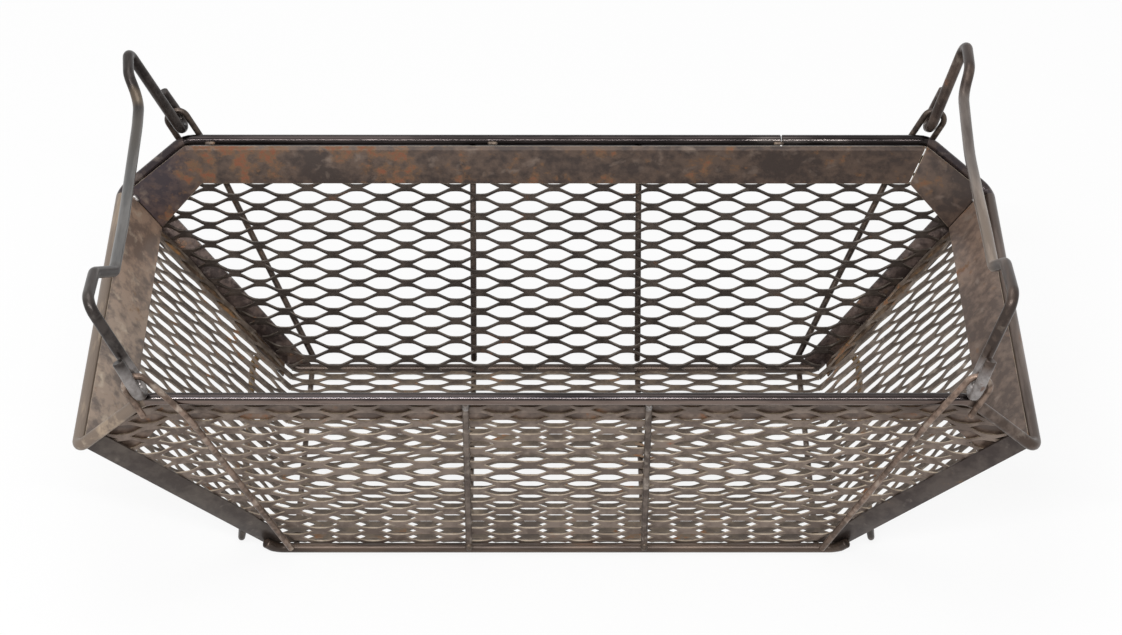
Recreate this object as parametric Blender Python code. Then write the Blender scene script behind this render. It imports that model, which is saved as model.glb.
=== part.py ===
"""Steel parts basket: an expanded-metal tray with flared walls, a rod rim, eye rods and two bails.

Metres, +Z up, X along the basket. The origin lies on the ground under the middle of the base rails.
"""

import math

import bmesh
import bpy
import numpy as np
from mathutils import Vector

# The basket's body
BASE_HALF_LENGTH = 0.1726
BASE_HALF_WIDTH = 0.0960
RIM_RISE = 0.1432
END_RIM_RISE = 0.1063
TOP_CORNER_PAST_BASE = 0.06797
END_CORNER_PAST_BASE = 0.04634
SIDE_FLARE = math.radians(19.2)
END_FLARE = math.radians(44.5)

# What keeps two touching pieces apart
CLEARANCE = 0.0003

# Base rails
RAIL_DIAMETER = 0.0060
RAIL_BELOW_FOLD = 0.0008
RAIL_PAST_BASE = 0.0039
RAIL_BEND_RADIUS = 0.0070
RAIL_TIP_RUN = 0.0110

# Expanded metal
SHEET_THICKNESS = 0.0012
DIAMOND_LENGTH = 0.0320
DIAMOND_WIDTH = 0.0127
STRAND_WIDTH = 0.0020
NET_SCALE_SHARE = 2.0
LEAST_OPENING_SHARE = 0.17
SHEET_BELOW_ROD = 0.0034
WALL_START = 0.0026
FLOOR_EDGE_GAP = 0.0015
FOLD_EDGE_GAP = 0.00095

# Rim rod
RIM_ROD_DIAMETER = 0.0065
RIM_BEND_RADIUS = 0.0070

# Rim band
BAND_THICKNESS = 0.0015
BAND_HEIGHT = 0.0225
BAND_BELOW_ROD = 0.0027
BAND_SEAM = 0.0008

# Corner angles
ANGLE_THICKNESS = 0.0014
ANGLE_LEG = 0.0140
ANGLE_BELOW_ROD = 0.0044
ANGLE_START = 0.0030

# Floor bars and wall rods
BAR_DIAMETER = 0.0040
MIDDLE_ROD_X = 0.0537
OUTER_BAR_INSIDE_BASE = 0.0126
ROD_END_UP_SLOPE = 0.0035
ROD_KICK_UP_SLOPE = 0.0180
ROD_BEND_RADIUS = 0.0120

# Eye rods, slanting up outside the wall and looping over the rim rod
FRONT_ROD_INSIDE_BASE = 0.0111
REAR_ROD_INSIDE_BASE = 0.0151
FRONT_LEFT_ROD_INSIDE_CORNER = 0.02557
FRONT_RIGHT_ROD_INSIDE_CORNER = 0.02157
REAR_ROD_INSIDE_CORNER = 0.01507
EYE_RADIUS = 0.0067
EYE_PAST_CORNER = 0.00413
EYE_CENTRE_ABOVE_RIM = 0.0120
EYE_LEAN = math.radians(27.7)
EYE_JOG_BELOW_RIM = 0.0100
EYE_RETURN_BELOW_RIM = 0.0092
EYE_BEND_RADIUS = 0.0150

# Foot loops
FOOT_ROD_DIAMETER = 0.0042
FOOT_END_RISE = 0.0140
FOOT_END_PAST_BASE = 0.0030
FRONT_FOOT_PAST_END = 0.0209
REAR_FOOT_PAST_END = 0.0254
FRONT_FOOT_PAST_SIDE = 0.0005
REAR_FOOT_INSIDE_SIDE = 0.0025
FRONT_FOOT_RISE = 0.0030
REAR_FOOT_RISE = 0.0080
FOOT_BEND_RADIUS = 0.0050

# Bails
BAIL_DIAMETER = 0.0070
BAIL_AXIS_INSIDE_EYE = 0.0031
HOOK_RADIUS = 0.0066
HOOK_RETURN = 0.0270
EAR_INSIDE_EYE = 0.0088
EAR_HEIGHT = 0.0645
FRONT_JOG_INSIDE_EAR = 0.0350
REAR_JOG_INSIDE_EAR = 0.0170
JOG_TOP_HEIGHT = 0.0625
FRONT_JOG_RUN = 0.0270
REAR_JOG_RUN = 0.0180
GRIP_HEIGHT = 0.0445
BAIL_BEND_RADIUS = 0.0090
LEFT_BAIL_LEAN = math.radians(27.0)
RIGHT_BAIL_LEAN = math.radians(19.5)

# Weld tacks
TACK_HALF_LENGTH = 0.0030
TACK_HALF_HEIGHT = 0.0010
TACK_ABOVE_BAND = 0.0014
TACK_OFFSET = 0.0012
CORNER_TACK_RADIUS = 0.0015
CORNER_TACK_OFFSET = 0.0026
REAR_TACK_X_SHARES = (-0.93, -0.17, 0.60)

# How finely the rounds are faceted
BEND_STEPS = 4
HOOK_STEPS = 8
ROD_RESOLUTION = 2
HEAVY_ROD_RESOLUTION = 3
TACK_SEGMENTS = 8
TACK_RINGS = 6
MERGE_DISTANCE = 0.00001

UP = Vector((0, 0, 1))
OUT_Y = Vector((0, 1, 0))
OUT_X = Vector((1, 0, 0))
CORNERS = ((-1, -1), (1, -1), (-1, 1), (1, 1))
SIDE_NAMES = {-1: "front", 1: "rear"}
END_NAMES = {-1: "left", 1: "right"}

# Heights that follow from the bars under the floor, whose eight sides lie flat
BAR_RADIUS = BAR_DIAMETER / 2
BAR_TURN = math.pi / 8
BAR_HEIGHT = BAR_RADIUS * math.cos(BAR_TURN)
FOLD_HEIGHT = 2 * BAR_HEIGHT + CLEARANCE + SHEET_THICKNESS / 2
RIM_HEIGHT = FOLD_HEIGHT + RIM_RISE
END_RIM_HEIGHT = FOLD_HEIGHT + END_RIM_RISE

# Places along the basket that follow from its base
TOP_CORNER_X = BASE_HALF_LENGTH + TOP_CORNER_PAST_BASE
END_CORNER_Y = BASE_HALF_WIDTH + END_CORNER_PAST_BASE
OUTER_BAR_X = BASE_HALF_LENGTH - OUTER_BAR_INSIDE_BASE
EYE_CENTRE_X = TOP_CORNER_X + EYE_PAST_CORNER
BAIL_AXIS_X = EYE_CENTRE_X - BAIL_AXIS_INSIDE_EYE

# How far each layer's middle lies outside the sheet's middle
ROD_OFFSET = SHEET_THICKNESS / 2 + CLEARANCE + RIM_ROD_DIAMETER / 2
WALL_ROD_OFFSET = SHEET_THICKNESS / 2 + CLEARANCE + BAR_RADIUS
RAIL_OFFSET = SHEET_THICKNESS / 2 + CLEARANCE + RAIL_DIAMETER / 2
BAND_OFFSET = -(SHEET_THICKNESS / 2 + CLEARANCE + BAND_THICKNESS / 2)
ANGLE_INNER = SHEET_THICKNESS / 2 + CLEARANCE
ANGLE_OUTER = ANGLE_INNER + ANGLE_THICKNESS
EYE_OFFSET = RIM_ROD_DIAMETER / 2 + CLEARANCE + BAR_RADIUS

# How high the bails' axis lies above the rim rod's middle, so that a folded bail lies on the rod
BAIL_AXIS_ABOVE_RIM = RIM_ROD_DIAMETER / 2 + CLEARANCE + BAIL_DIAMETER / 2


def clear_scene():
    for old in list(bpy.data.objects):
        bpy.data.objects.remove(old, do_unlink=True)


def material(name, colour, roughness, metallic):
    made = bpy.data.materials.new(name)
    made.use_nodes = True
    shader = made.node_tree.nodes["Principled BSDF"]
    shader.inputs["Base Color"].default_value = (*colour, 1)
    shader.inputs["Roughness"].default_value = roughness
    shader.inputs["Metallic"].default_value = metallic
    made.diffuse_color = (*colour, 1)
    return made


def add_object(name, data, finish):
    made = bpy.data.objects.new(name, data)
    made.data.materials.append(finish)
    bpy.context.scene.collection.objects.link(made)
    return made


# Planes of the sheets in the quarter with x and y above zero: a unit normal and its distance


def plane_through(normal, point):
    unit = normal.normalized()
    return unit, unit.dot(point)


def moved_out(plane, offset):
    return plane[0], plane[1] + offset


def level(height):
    return UP, height


def meet(first, second, third):
    """The point that three planes share."""
    normals = np.array([plane[0][:] for plane in (first, second, third)])
    distances = np.array([plane[1] for plane in (first, second, third)])
    return Vector(np.linalg.solve(normals, distances))


BASE_CORNER = Vector((BASE_HALF_LENGTH, BASE_HALF_WIDTH, FOLD_HEIGHT))
TOP_CORNER = Vector((TOP_CORNER_X, BASE_HALF_WIDTH + RIM_RISE * math.tan(SIDE_FLARE), RIM_HEIGHT))
END_CORNER = Vector((BASE_HALF_LENGTH + END_RIM_RISE * math.tan(END_FLARE), END_CORNER_Y, END_RIM_HEIGHT))
SIDE_PLANE = plane_through(Vector((0, math.cos(SIDE_FLARE), -math.sin(SIDE_FLARE))), BASE_CORNER)
END_PLANE = plane_through(Vector((math.cos(END_FLARE), 0, -math.sin(END_FLARE))), BASE_CORNER)
WING_PLANE = plane_through((TOP_CORNER - BASE_CORNER).cross(END_CORNER - BASE_CORNER), BASE_CORNER)


def top_corner_at(offset, height):
    """The point on the crease between side and wing, this far out and this high."""
    return meet(moved_out(SIDE_PLANE, offset), moved_out(WING_PLANE, offset), level(height))


def end_corner_at(offset, height):
    """The point on the corner fold between wing and end, this far out and this high."""
    return meet(moved_out(END_PLANE, offset), moved_out(WING_PLANE, offset), level(height))


ROD_TOP_CORNER = top_corner_at(ROD_OFFSET, RIM_HEIGHT)
ROD_END_CORNER = end_corner_at(ROD_OFFSET, END_RIM_HEIGHT)


def mirrored(point, side_x, side_y):
    return Vector((point.x * side_x, point.y * side_y, point.z))


# Rods


def bent(points, radius, steps=BEND_STEPS, closed=False):
    """The points with an arc of this radius in place of each corner."""
    count = len(points)
    path = []
    for i, corner in enumerate(points):
        if not closed and i in (0, count - 1):
            path.append(corner)
            continue
        to_last = (points[i - 1] - corner).normalized()
        to_next = (points[(i + 1) % count] - corner).normalized()
        half_turn = (math.pi - to_last.angle(to_next)) / 2
        along = radius * math.tan(half_turn)
        centre = corner + (to_last + to_next).normalized() * radius / math.cos(half_turn)
        start = corner + to_last * along - centre
        end = corner + to_next * along - centre
        for step in range(steps + 1):
            path.append(centre + start.slerp(end, step / steps) * radius)
    return path


def rod(name, path, diameter, finish, closed=False, resolution=ROD_RESOLUTION, turn=0):
    curve = bpy.data.curves.new(name, "CURVE")
    curve.dimensions = "3D"
    curve.bevel_depth = diameter / 2
    curve.bevel_resolution = resolution
    curve.use_fill_caps = True
    spline = curve.splines.new("POLY")
    spline.points.add(len(path) - 1)
    for slot, point in zip(spline.points, path):
        slot.co = (*point, 1)
        slot.tilt = turn
    spline.use_cyclic_u = closed
    return add_object(name, curve, finish)


# Plates


def plate(name, loops, finish):
    """One closed body from lists of corners, its faces turned outward."""
    body = bmesh.new()
    for corners in loops:
        body.faces.new([body.verts.new(corner) for corner in corners])
    bmesh.ops.remove_doubles(body, verts=body.verts, dist=MERGE_DISTANCE)
    bmesh.ops.recalc_face_normals(body, faces=body.faces)
    if body.calc_volume(signed=True) < 0:
        bmesh.ops.reverse_faces(body, faces=body.faces)
    mesh = bpy.data.meshes.new(name)
    body.to_mesh(mesh)
    body.free()
    return add_object(name, mesh, finish)


def skinned(stations):
    """The faces of a bar given as a row of closed outlines with as many corners each."""
    faces = [stations[0], stations[-1]]
    for first, second in zip(stations, stations[1:]):
        size = len(first)
        for i in range(size):
            after = (i + 1) % size
            faces.append([first[i], first[after], second[after], second[i]])
    return faces


# Expanded metal


def clipped_lattice(corners, pitch_along, pitch_across):
    """A flat mesh of diamonds inside a convex outline, whose corners run counterclockwise."""
    sheet = bmesh.new()
    low = [min(corner[i] for corner in corners) for i in range(2)]
    high = [max(corner[i] for corner in corners) for i in range(2)]
    half_along, half_across = pitch_along / 2, pitch_across / 2
    columns = range(math.floor(low[0] / half_along) - 1, math.ceil(high[0] / half_along) + 2)
    rows = range(math.floor(low[1] / half_across) - 1, math.ceil(high[1] / half_across) + 2)
    bonds = {}
    for i in columns:
        for j in rows:
            if (i + j) % 2 == 0:
                bonds[i, j] = sheet.verts.new((i * half_along, j * half_across, 0))
    for i in columns:
        for j in rows:
            around = [(i - 1, j), (i, j - 1), (i + 1, j), (i, j + 1)]
            if (i + j) % 2 and all(place in bonds for place in around):
                sheet.faces.new([bonds[place] for place in around])
    for start, end in zip(corners, corners[1:] + corners[:1]):
        away = Vector((end[1] - start[1], start[0] - end[0], 0))
        bmesh.ops.bisect_plane(
            sheet,
            geom=sheet.verts[:] + sheet.edges[:] + sheet.faces[:],
            dist=MERGE_DISTANCE,
            plane_co=(*start, 0),
            plane_no=away,
            clear_outer=True,
        )
    return sheet


def can_open(face, strand):
    """Whether a diamond is large enough for a hole between its strands."""
    centre = face.calc_center_median()
    for edge in face.edges:
        first, second = (vert.co for vert in edge.verts)
        along = (second - first).normalized()
        reach = centre - first
        if (reach - along * reach.dot(along)).length < strand:
            return False
    return True


def net(name, facets, finish):
    """A folded sheet of expanded metal. Each facet has a flat outline and a map from flat to folded."""
    strand = STRAND_WIDTH * NET_SCALE_SHARE
    whole = bmesh.new()
    for corners, fold in facets:
        sheet = clipped_lattice(corners, DIAMOND_LENGTH * NET_SCALE_SHARE, DIAMOND_WIDTH * NET_SCALE_SHARE)
        for vert in sheet.verts:
            vert.co = fold(vert.co.x, vert.co.y)
        piece = bpy.data.meshes.new("facet")
        sheet.to_mesh(piece)
        sheet.free()
        whole.from_mesh(piece)
        bpy.data.meshes.remove(piece)
    bmesh.ops.remove_doubles(whole, verts=whole.verts, dist=MERGE_DISTANCE)
    bmesh.ops.recalc_face_normals(whole, faces=whole.faces)
    least = DIAMOND_WIDTH * NET_SCALE_SHARE * LEAST_OPENING_SHARE
    holes = [face for face in whole.faces if can_open(face, least)]
    bmesh.ops.inset_individual(whole, faces=holes, thickness=strand / 2, use_even_offset=True)
    bmesh.ops.delete(whole, geom=holes, context="FACES")
    print(name, len(holes), "gaps")
    mesh = bpy.data.meshes.new(name)
    whole.to_mesh(mesh)
    whole.free()
    made = add_object(name, mesh, finish)
    thick = made.modifiers.new("thickness", "SOLIDIFY")
    thick.thickness = SHEET_THICKNESS
    thick.offset = 0
    thick.use_even_offset = True
    return made


def side_point(side_y):
    """From flat to folded on a side wall: x along the wall, then the distance up its slope."""

    def fold(along, up):
        y = BASE_HALF_WIDTH + up * math.sin(SIDE_FLARE)
        return Vector((along, y * side_y, FOLD_HEIGHT + up * math.cos(SIDE_FLARE)))

    return fold


def slope_of(point):
    """A crease point's place on the flat side wall."""
    return Vector((point.x, (point.z - FOLD_HEIGHT) / math.cos(SIDE_FLARE)))


def wing_axes():
    """The crease's direction on the folded wing and the direction square to it, toward the end."""
    along = (TOP_CORNER - BASE_CORNER).normalized()
    reach = END_CORNER - BASE_CORNER
    return along, (reach - along * reach.dot(along)).normalized()


def wing_flat_axes():
    along = (slope_of(TOP_CORNER) - slope_of(BASE_CORNER)).normalized()
    return along, Vector((along.y, -along.x))


def wing_flat(point):
    """A folded wing point's place in the flat sheet."""
    along, across = wing_axes()
    flat_along, flat_across = wing_flat_axes()
    reach = point - BASE_CORNER
    return slope_of(BASE_CORNER) + flat_along * reach.dot(along) + flat_across * reach.dot(across)


def wing_point(side_x, side_y):
    """From flat to folded on a wing."""
    along, across = wing_axes()
    flat_along, flat_across = wing_flat_axes()

    def fold(x, up):
        reach = Vector((x * side_x, up)) - slope_of(BASE_CORNER)
        point = BASE_CORNER + along * reach.dot(flat_along) + across * reach.dot(flat_across)
        return mirrored(point, side_x, side_y)

    return fold


def wing_outline():
    """The wing's flat outline on the right: crease, line under the rod, and corner fold."""
    rim_along = (ROD_END_CORNER - ROD_TOP_CORNER).normalized()
    rim_down = WING_PLANE[0].cross(rim_along)
    rim_down *= -1 if rim_down.z > 0 else 1
    under_rod = plane_through(-rim_down, ROD_TOP_CORNER + rim_down * SHEET_BELOW_ROD)
    near_fold = moved_out(END_PLANE, -FOLD_EDGE_GAP)
    side_top = RIM_HEIGHT - SHEET_BELOW_ROD * math.cos(SIDE_FLARE)
    crease_top = top_corner_at(0, side_top)
    fold_top = meet(WING_PLANE, near_fold, under_rod)
    start = WALL_START / math.cos(SIDE_FLARE)
    crease_start = top_corner_at(0, FOLD_HEIGHT + start)
    fold_start = meet(WING_PLANE, near_fold, level(FOLD_HEIGHT + WALL_START / math.cos(END_FLARE)))
    return [wing_flat(point) for point in (crease_start, fold_start, fold_top, crease_top)]


def side_wall_mesh(side_y, finish):
    wing = wing_outline()
    low, high = wing[0], wing[3]
    middle = [(-low.x, low.y), (low.x, low.y), (high.x, high.y), (-high.x, high.y)]
    right = [tuple(corner) for corner in wing]
    left = [(-corner.x, corner.y) for corner in reversed(wing)]
    facets = [
        (middle, side_point(side_y)),
        (right, wing_point(1, side_y)),
        (left, wing_point(-1, side_y)),
    ]
    return net(f"{SIDE_NAMES[side_y]}_wall_mesh", facets, finish)


def floor_and_ends_mesh(finish):
    """One sheet, folded up at both ends of the floor."""
    edge = BASE_HALF_WIDTH - FLOOR_EDGE_GAP
    top = END_RIM_RISE / math.cos(END_FLARE) - SHEET_BELOW_ROD
    fold_end = meet(WING_PLANE, END_PLANE, level(FOLD_HEIGHT + top * math.cos(END_FLARE)))

    def end_point(side_x):
        def fold(along, y):
            up = abs(along) - BASE_HALF_LENGTH
            x = BASE_HALF_LENGTH + up * math.sin(END_FLARE)
            return Vector((x * side_x, y, FOLD_HEIGHT + up * math.cos(END_FLARE)))

        return fold

    def floor_point(x, y):
        return Vector((x, y, FOLD_HEIGHT))

    reach = BASE_HALF_LENGTH + top
    wide = fold_end.y - CLEARANCE
    base = BASE_HALF_LENGTH
    floor = [(-base, -edge), (base, -edge), (base, edge), (-base, edge)]
    right = [(base, -edge), (reach, -wide), (reach, wide), (base, edge)]
    left = [(-base, edge), (-reach, wide), (-reach, -wide), (-base, -edge)]
    facets = [(floor, floor_point), (right, end_point(1)), (left, end_point(-1))]
    return net("floor_and_ends_mesh", facets, finish)


# Rim


def rim_rod(finish):
    ring = []
    for side_x, side_y in ((1, 1), (-1, 1), (-1, -1), (1, -1)):
        pair = [mirrored(ROD_END_CORNER, side_x, side_y), mirrored(ROD_TOP_CORNER, side_x, side_y)]
        ring += pair if side_x == side_y else pair[::-1]
    path = bent(ring, RIM_BEND_RADIUS, closed=True)
    return rod("rim_rod", path, RIM_ROD_DIAMETER, finish, closed=True, resolution=HEAVY_ROD_RESOLUTION)


def band_outline(corner_at, rim_height, flare, side_x, side_y, shift):
    """The band's cut outline on a crease, moved along by a shift that leaves the seam open."""
    top = rim_height - BAND_BELOW_ROD * math.cos(flare)
    low = top - BAND_HEIGHT * math.cos(flare)
    inner = BAND_OFFSET - BAND_THICKNESS / 2
    outer = BAND_OFFSET + BAND_THICKNESS / 2
    places = ((outer, top), (inner, top), (inner, low), (outer, low))
    return [mirrored(corner_at(offset, height) + shift, side_x, side_y) for offset, height in places]


def top_outline(side_x, side_y, shift):
    return band_outline(top_corner_at, RIM_HEIGHT, SIDE_FLARE, side_x, side_y, shift)


def end_outline(side_x, side_y, shift):
    return band_outline(end_corner_at, END_RIM_HEIGHT, END_FLARE, side_x, side_y, shift)


def rim_bands(finish):
    no_shift = Vector((0, 0, 0))
    half = BAND_SEAM / 2
    rim_along = (ROD_END_CORNER - ROD_TOP_CORNER).normalized()
    on_wing = rim_along * -half
    off_top = rim_along * half
    on_side = OUT_X * -half
    on_end = OUT_Y * -half
    rows = {
        "rim_band_rear": [
            end_outline(-1, 1, on_wing),
            top_outline(-1, 1, no_shift),
            top_outline(1, 1, on_side),
        ],
        "rim_band_rear_right": [top_outline(1, 1, off_top), end_outline(1, 1, on_wing)],
        "rim_band_front": [
            end_outline(-1, -1, on_wing),
            top_outline(-1, -1, no_shift),
            top_outline(1, -1, no_shift),
            end_outline(1, -1, on_wing),
        ],
        "rim_band_left_end": [end_outline(-1, -1, on_end), end_outline(-1, 1, on_end)],
        "rim_band_right_end": [end_outline(1, -1, on_end), end_outline(1, 1, on_end)],
    }
    for name, stations in rows.items():
        plate(name, skinned(stations), finish)


# Corner angles


def angle_corners(offset):
    """The angle's corners on one of its two surfaces, in the quarter with x and y above zero."""
    side, wing, end = (moved_out(plane, offset) for plane in (SIDE_PLANE, WING_PLANE, END_PLANE))
    low = level(FOLD_HEIGHT + ANGLE_START)
    fold_low = meet(wing, end, low)
    fold_along = (END_CORNER - BASE_CORNER).normalized()
    end_inward = fold_along.cross(END_PLANE[0])
    end_inward *= -1 if end_inward.y > 0 else 1
    end_edge = plane_through(end_inward, fold_low + end_inward * ANGLE_LEG)
    wing_inward = fold_along.cross(WING_PLANE[0])
    wing_inward *= -1 if wing_inward.x > 0 else 1
    wing_edge = plane_through(wing_inward, fold_low + wing_inward * ANGLE_LEG)
    end_top = level(END_RIM_HEIGHT - ANGLE_BELOW_ROD * math.cos(END_FLARE))
    rim_along = (ROD_END_CORNER - ROD_TOP_CORNER).normalized()
    rim_down = WING_PLANE[0].cross(rim_along)
    rim_down *= -1 if rim_down.z > 0 else 1
    wing_top = plane_through(rim_down, ROD_TOP_CORNER + rim_down * ANGLE_BELOW_ROD)
    return {
        "fold_low": fold_low,
        "fold_top": meet(wing, end, wing_top),
        "end_low": meet(end, end_edge, low),
        "end_top": meet(end, end_edge, end_top),
        "fold_end_top": meet(wing, end, end_top),
        "wing_top": meet(wing, wing_edge, wing_top),
        "crease_low": meet(side, wing, low),
        "crease_edge": meet(side, wing, wing_edge),
        "side_low": meet(side, low, (OUT_X, OUTER_BAR_X)),
    }


def corner_angle(side_x, side_y, finish):
    inner, outer = (angle_corners(offset) for offset in (ANGLE_INNER, ANGLE_OUTER))
    patches = (
        ("fold_low", "fold_top", "end_top", "end_low"),
        ("fold_low", "crease_low", "crease_edge", "wing_top", "fold_top"),
        ("crease_low", "side_low", "crease_edge"),
    )
    rim = ("fold_low", "end_low", "end_top", "fold_top", "wing_top", "crease_edge", "side_low", "crease_low")
    loops = [[surface[key] for key in patch] for surface in (inner, outer) for patch in patches]
    for key, after in zip(rim, rim[1:] + rim[:1]):
        loops.append([inner[key], inner[after], outer[after], outer[key]])
    name = f"corner_angle_{SIDE_NAMES[side_y]}_{END_NAMES[side_x]}"
    loops = [[mirrored(corner, side_x, side_y) for corner in loop] for loop in loops]
    return plate(name, loops, finish)


# Base rails


def rail_middle(side_y):
    """A point of the rail's straight middle line."""
    out = BASE_HALF_WIDTH + (RAIL_OFFSET - RAIL_BELOW_FOLD * math.sin(SIDE_FLARE)) / math.cos(SIDE_FLARE)
    return Vector((0, out * side_y, FOLD_HEIGHT - RAIL_BELOW_FOLD))


def base_rail(side_y, finish):
    """Along the fold outside the wall, its ends turned up outside the corner angles."""
    wing, end = (moved_out(plane, ANGLE_OUTER) for plane in (WING_PLANE, END_PLANE))
    beside = (WING_PLANE[0] + END_PLANE[0]).normalized() * (CLEARANCE + RAIL_DIAMETER / 2)
    fold_along = (END_CORNER - BASE_CORNER).normalized()
    knee = meet(wing, end, level(FOLD_HEIGHT + ANGLE_START)) + beside
    turn = rail_middle(1) + OUT_X * (BASE_HALF_LENGTH + RAIL_PAST_BASE)
    half = [turn, knee, knee + fold_along * RAIL_TIP_RUN]
    right = [mirrored(point, 1, side_y) for point in half]
    path = bent([mirrored(point, -1, 1) for point in reversed(right)] + right, RAIL_BEND_RADIUS)
    return rod(f"base_rail_{SIDE_NAMES[side_y]}", path, RAIL_DIAMETER, finish)


# Floor bars and wall rods


def rod_end(side_y):
    """How far out and how far up the slope a wall rod's low end lies, on the base rail's outer side."""
    rail_up = rail_middle(side_y).z - FOLD_HEIGHT
    rail_up = rail_up / math.cos(SIDE_FLARE) + RAIL_OFFSET * math.tan(SIDE_FLARE)
    reach = RAIL_DIAMETER / 2 + CLEARANCE + BAR_RADIUS
    out = RAIL_OFFSET + math.sqrt(reach**2 - (ROD_END_UP_SLOPE - rail_up) ** 2)
    return out, ROD_END_UP_SLOPE


def on_side(x, out, up):
    """A point off the side wall: along it, out from its middle and up its slope."""
    y = BASE_HALF_WIDTH + out * math.cos(SIDE_FLARE) + up * math.sin(SIDE_FLARE)
    return Vector((x, y, FOLD_HEIGHT - out * math.sin(SIDE_FLARE) + up * math.cos(SIDE_FLARE)))


def eye_line(side_x, side_y):
    """An eye rod's low end, its bend below the rim, and the eye's middle and its two directions."""
    low_inside = FRONT_ROD_INSIDE_BASE if side_y < 0 else REAR_ROD_INSIDE_BASE
    front_inside = FRONT_LEFT_ROD_INSIDE_CORNER if side_x < 0 else FRONT_RIGHT_ROD_INSIDE_CORNER
    rim_x = TOP_CORNER_X - (front_inside if side_y < 0 else REAR_ROD_INSIDE_CORNER)
    start = on_side(BASE_HALF_LENGTH - low_inside, *rod_end(side_y))
    eye_up = Vector((math.sin(EYE_LEAN), 0, math.cos(EYE_LEAN)))
    eye_out = Vector((math.cos(EYE_LEAN), 0, -math.sin(EYE_LEAN)))
    eye_y = ROD_TOP_CORNER.y + EYE_OFFSET
    centre = Vector((EYE_CENTRE_X, eye_y, RIM_HEIGHT + EYE_CENTRE_ABOVE_RIM))
    jog = Vector((rim_x, eye_y, RIM_HEIGHT - EYE_JOG_BELOW_RIM))
    return start, jog, centre, eye_up, eye_out


def floor_bar(name, x, finish):
    """From rail to rail under the floor, one of its flats down on the ground."""
    rail = rail_middle(1)
    reach = RAIL_DIAMETER / 2 + CLEARANCE
    half = rail.y - math.sqrt(reach**2 - max(rail.z - 2 * BAR_HEIGHT, 0) ** 2)
    ends = [Vector((x, y, BAR_HEIGHT)) for y in (-half, half)]
    return rod(name, ends, BAR_DIAMETER, finish, turn=BAR_TURN)


def wall_rod(side_x, side_y, finish):
    """Up the wall from the base rail's outer side to the underside of the rim rod."""
    out, up = rod_end(side_y)
    below_rod = RIM_ROD_DIAMETER / 2 + CLEARANCE
    top = RIM_RISE / math.cos(SIDE_FLARE) - (ROD_OFFSET - WALL_ROD_OFFSET) * math.tan(SIDE_FLARE) - below_rod
    kick = on_side(MIDDLE_ROD_X, WALL_ROD_OFFSET, ROD_KICK_UP_SLOPE)
    points = [on_side(MIDDLE_ROD_X, out, up), kick, on_side(MIDDLE_ROD_X, WALL_ROD_OFFSET, top)]
    path = [mirrored(point, side_x, side_y) for point in bent(points, ROD_BEND_RADIUS)]
    return rod(f"wall_rod_{SIDE_NAMES[side_y]}_{END_NAMES[side_x]}", path, BAR_DIAMETER, finish)


def eye_rod(side_x, side_y, finish):
    """Up from the rail, outside the rim rod, over as the bail's eye and down again to a cut end."""
    start, jog, centre, eye_up, eye_out = eye_line(side_x, side_y)
    arc = []
    for step in range(HOOK_STEPS + 1):
        turn = math.pi * step / HOOK_STEPS
        arc.append(centre - eye_out * EYE_RADIUS * math.cos(turn) + eye_up * EYE_RADIUS * math.sin(turn))
    end_height = RIM_HEIGHT - EYE_RETURN_BELOW_RIM
    end = arc[-1] - eye_up * (arc[-1].z - end_height) / eye_up.z
    path = bent([start, jog, arc[0]], EYE_BEND_RADIUS)[:-1] + arc + [end]
    path = [mirrored(point, side_x, side_y) for point in path]
    return rod(f"eye_rod_{SIDE_NAMES[side_y]}_{END_NAMES[side_x]}", path, BAR_DIAMETER, finish)


# Foot loops


def foot_loop(side_x, finish):
    beside = ANGLE_OUTER + CLEARANCE + FOOT_ROD_DIAMETER / 4
    points = []
    for side_y in (1, -1):
        end_y = BASE_HALF_WIDTH + FOOT_END_PAST_BASE
        weld = meet(moved_out(END_PLANE, beside), (OUT_Y, end_y), level(FOLD_HEIGHT + FOOT_END_RISE))
        if side_y < 0:
            past_end, past_side, rise = FRONT_FOOT_PAST_END, FRONT_FOOT_PAST_SIDE, FRONT_FOOT_RISE
        else:
            past_end, past_side, rise = REAR_FOOT_PAST_END, -REAR_FOOT_INSIDE_SIDE, REAR_FOOT_RISE
        corner = BASE_CORNER + Vector((past_end, past_side, rise))
        pair = [mirrored(weld, side_x, side_y), mirrored(corner, side_x, side_y)]
        points += pair[::side_y]
    return rod(f"foot_loop_{END_NAMES[side_x]}", bent(points, FOOT_BEND_RADIUS), FOOT_ROD_DIAMETER, finish)


# Bails


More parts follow.
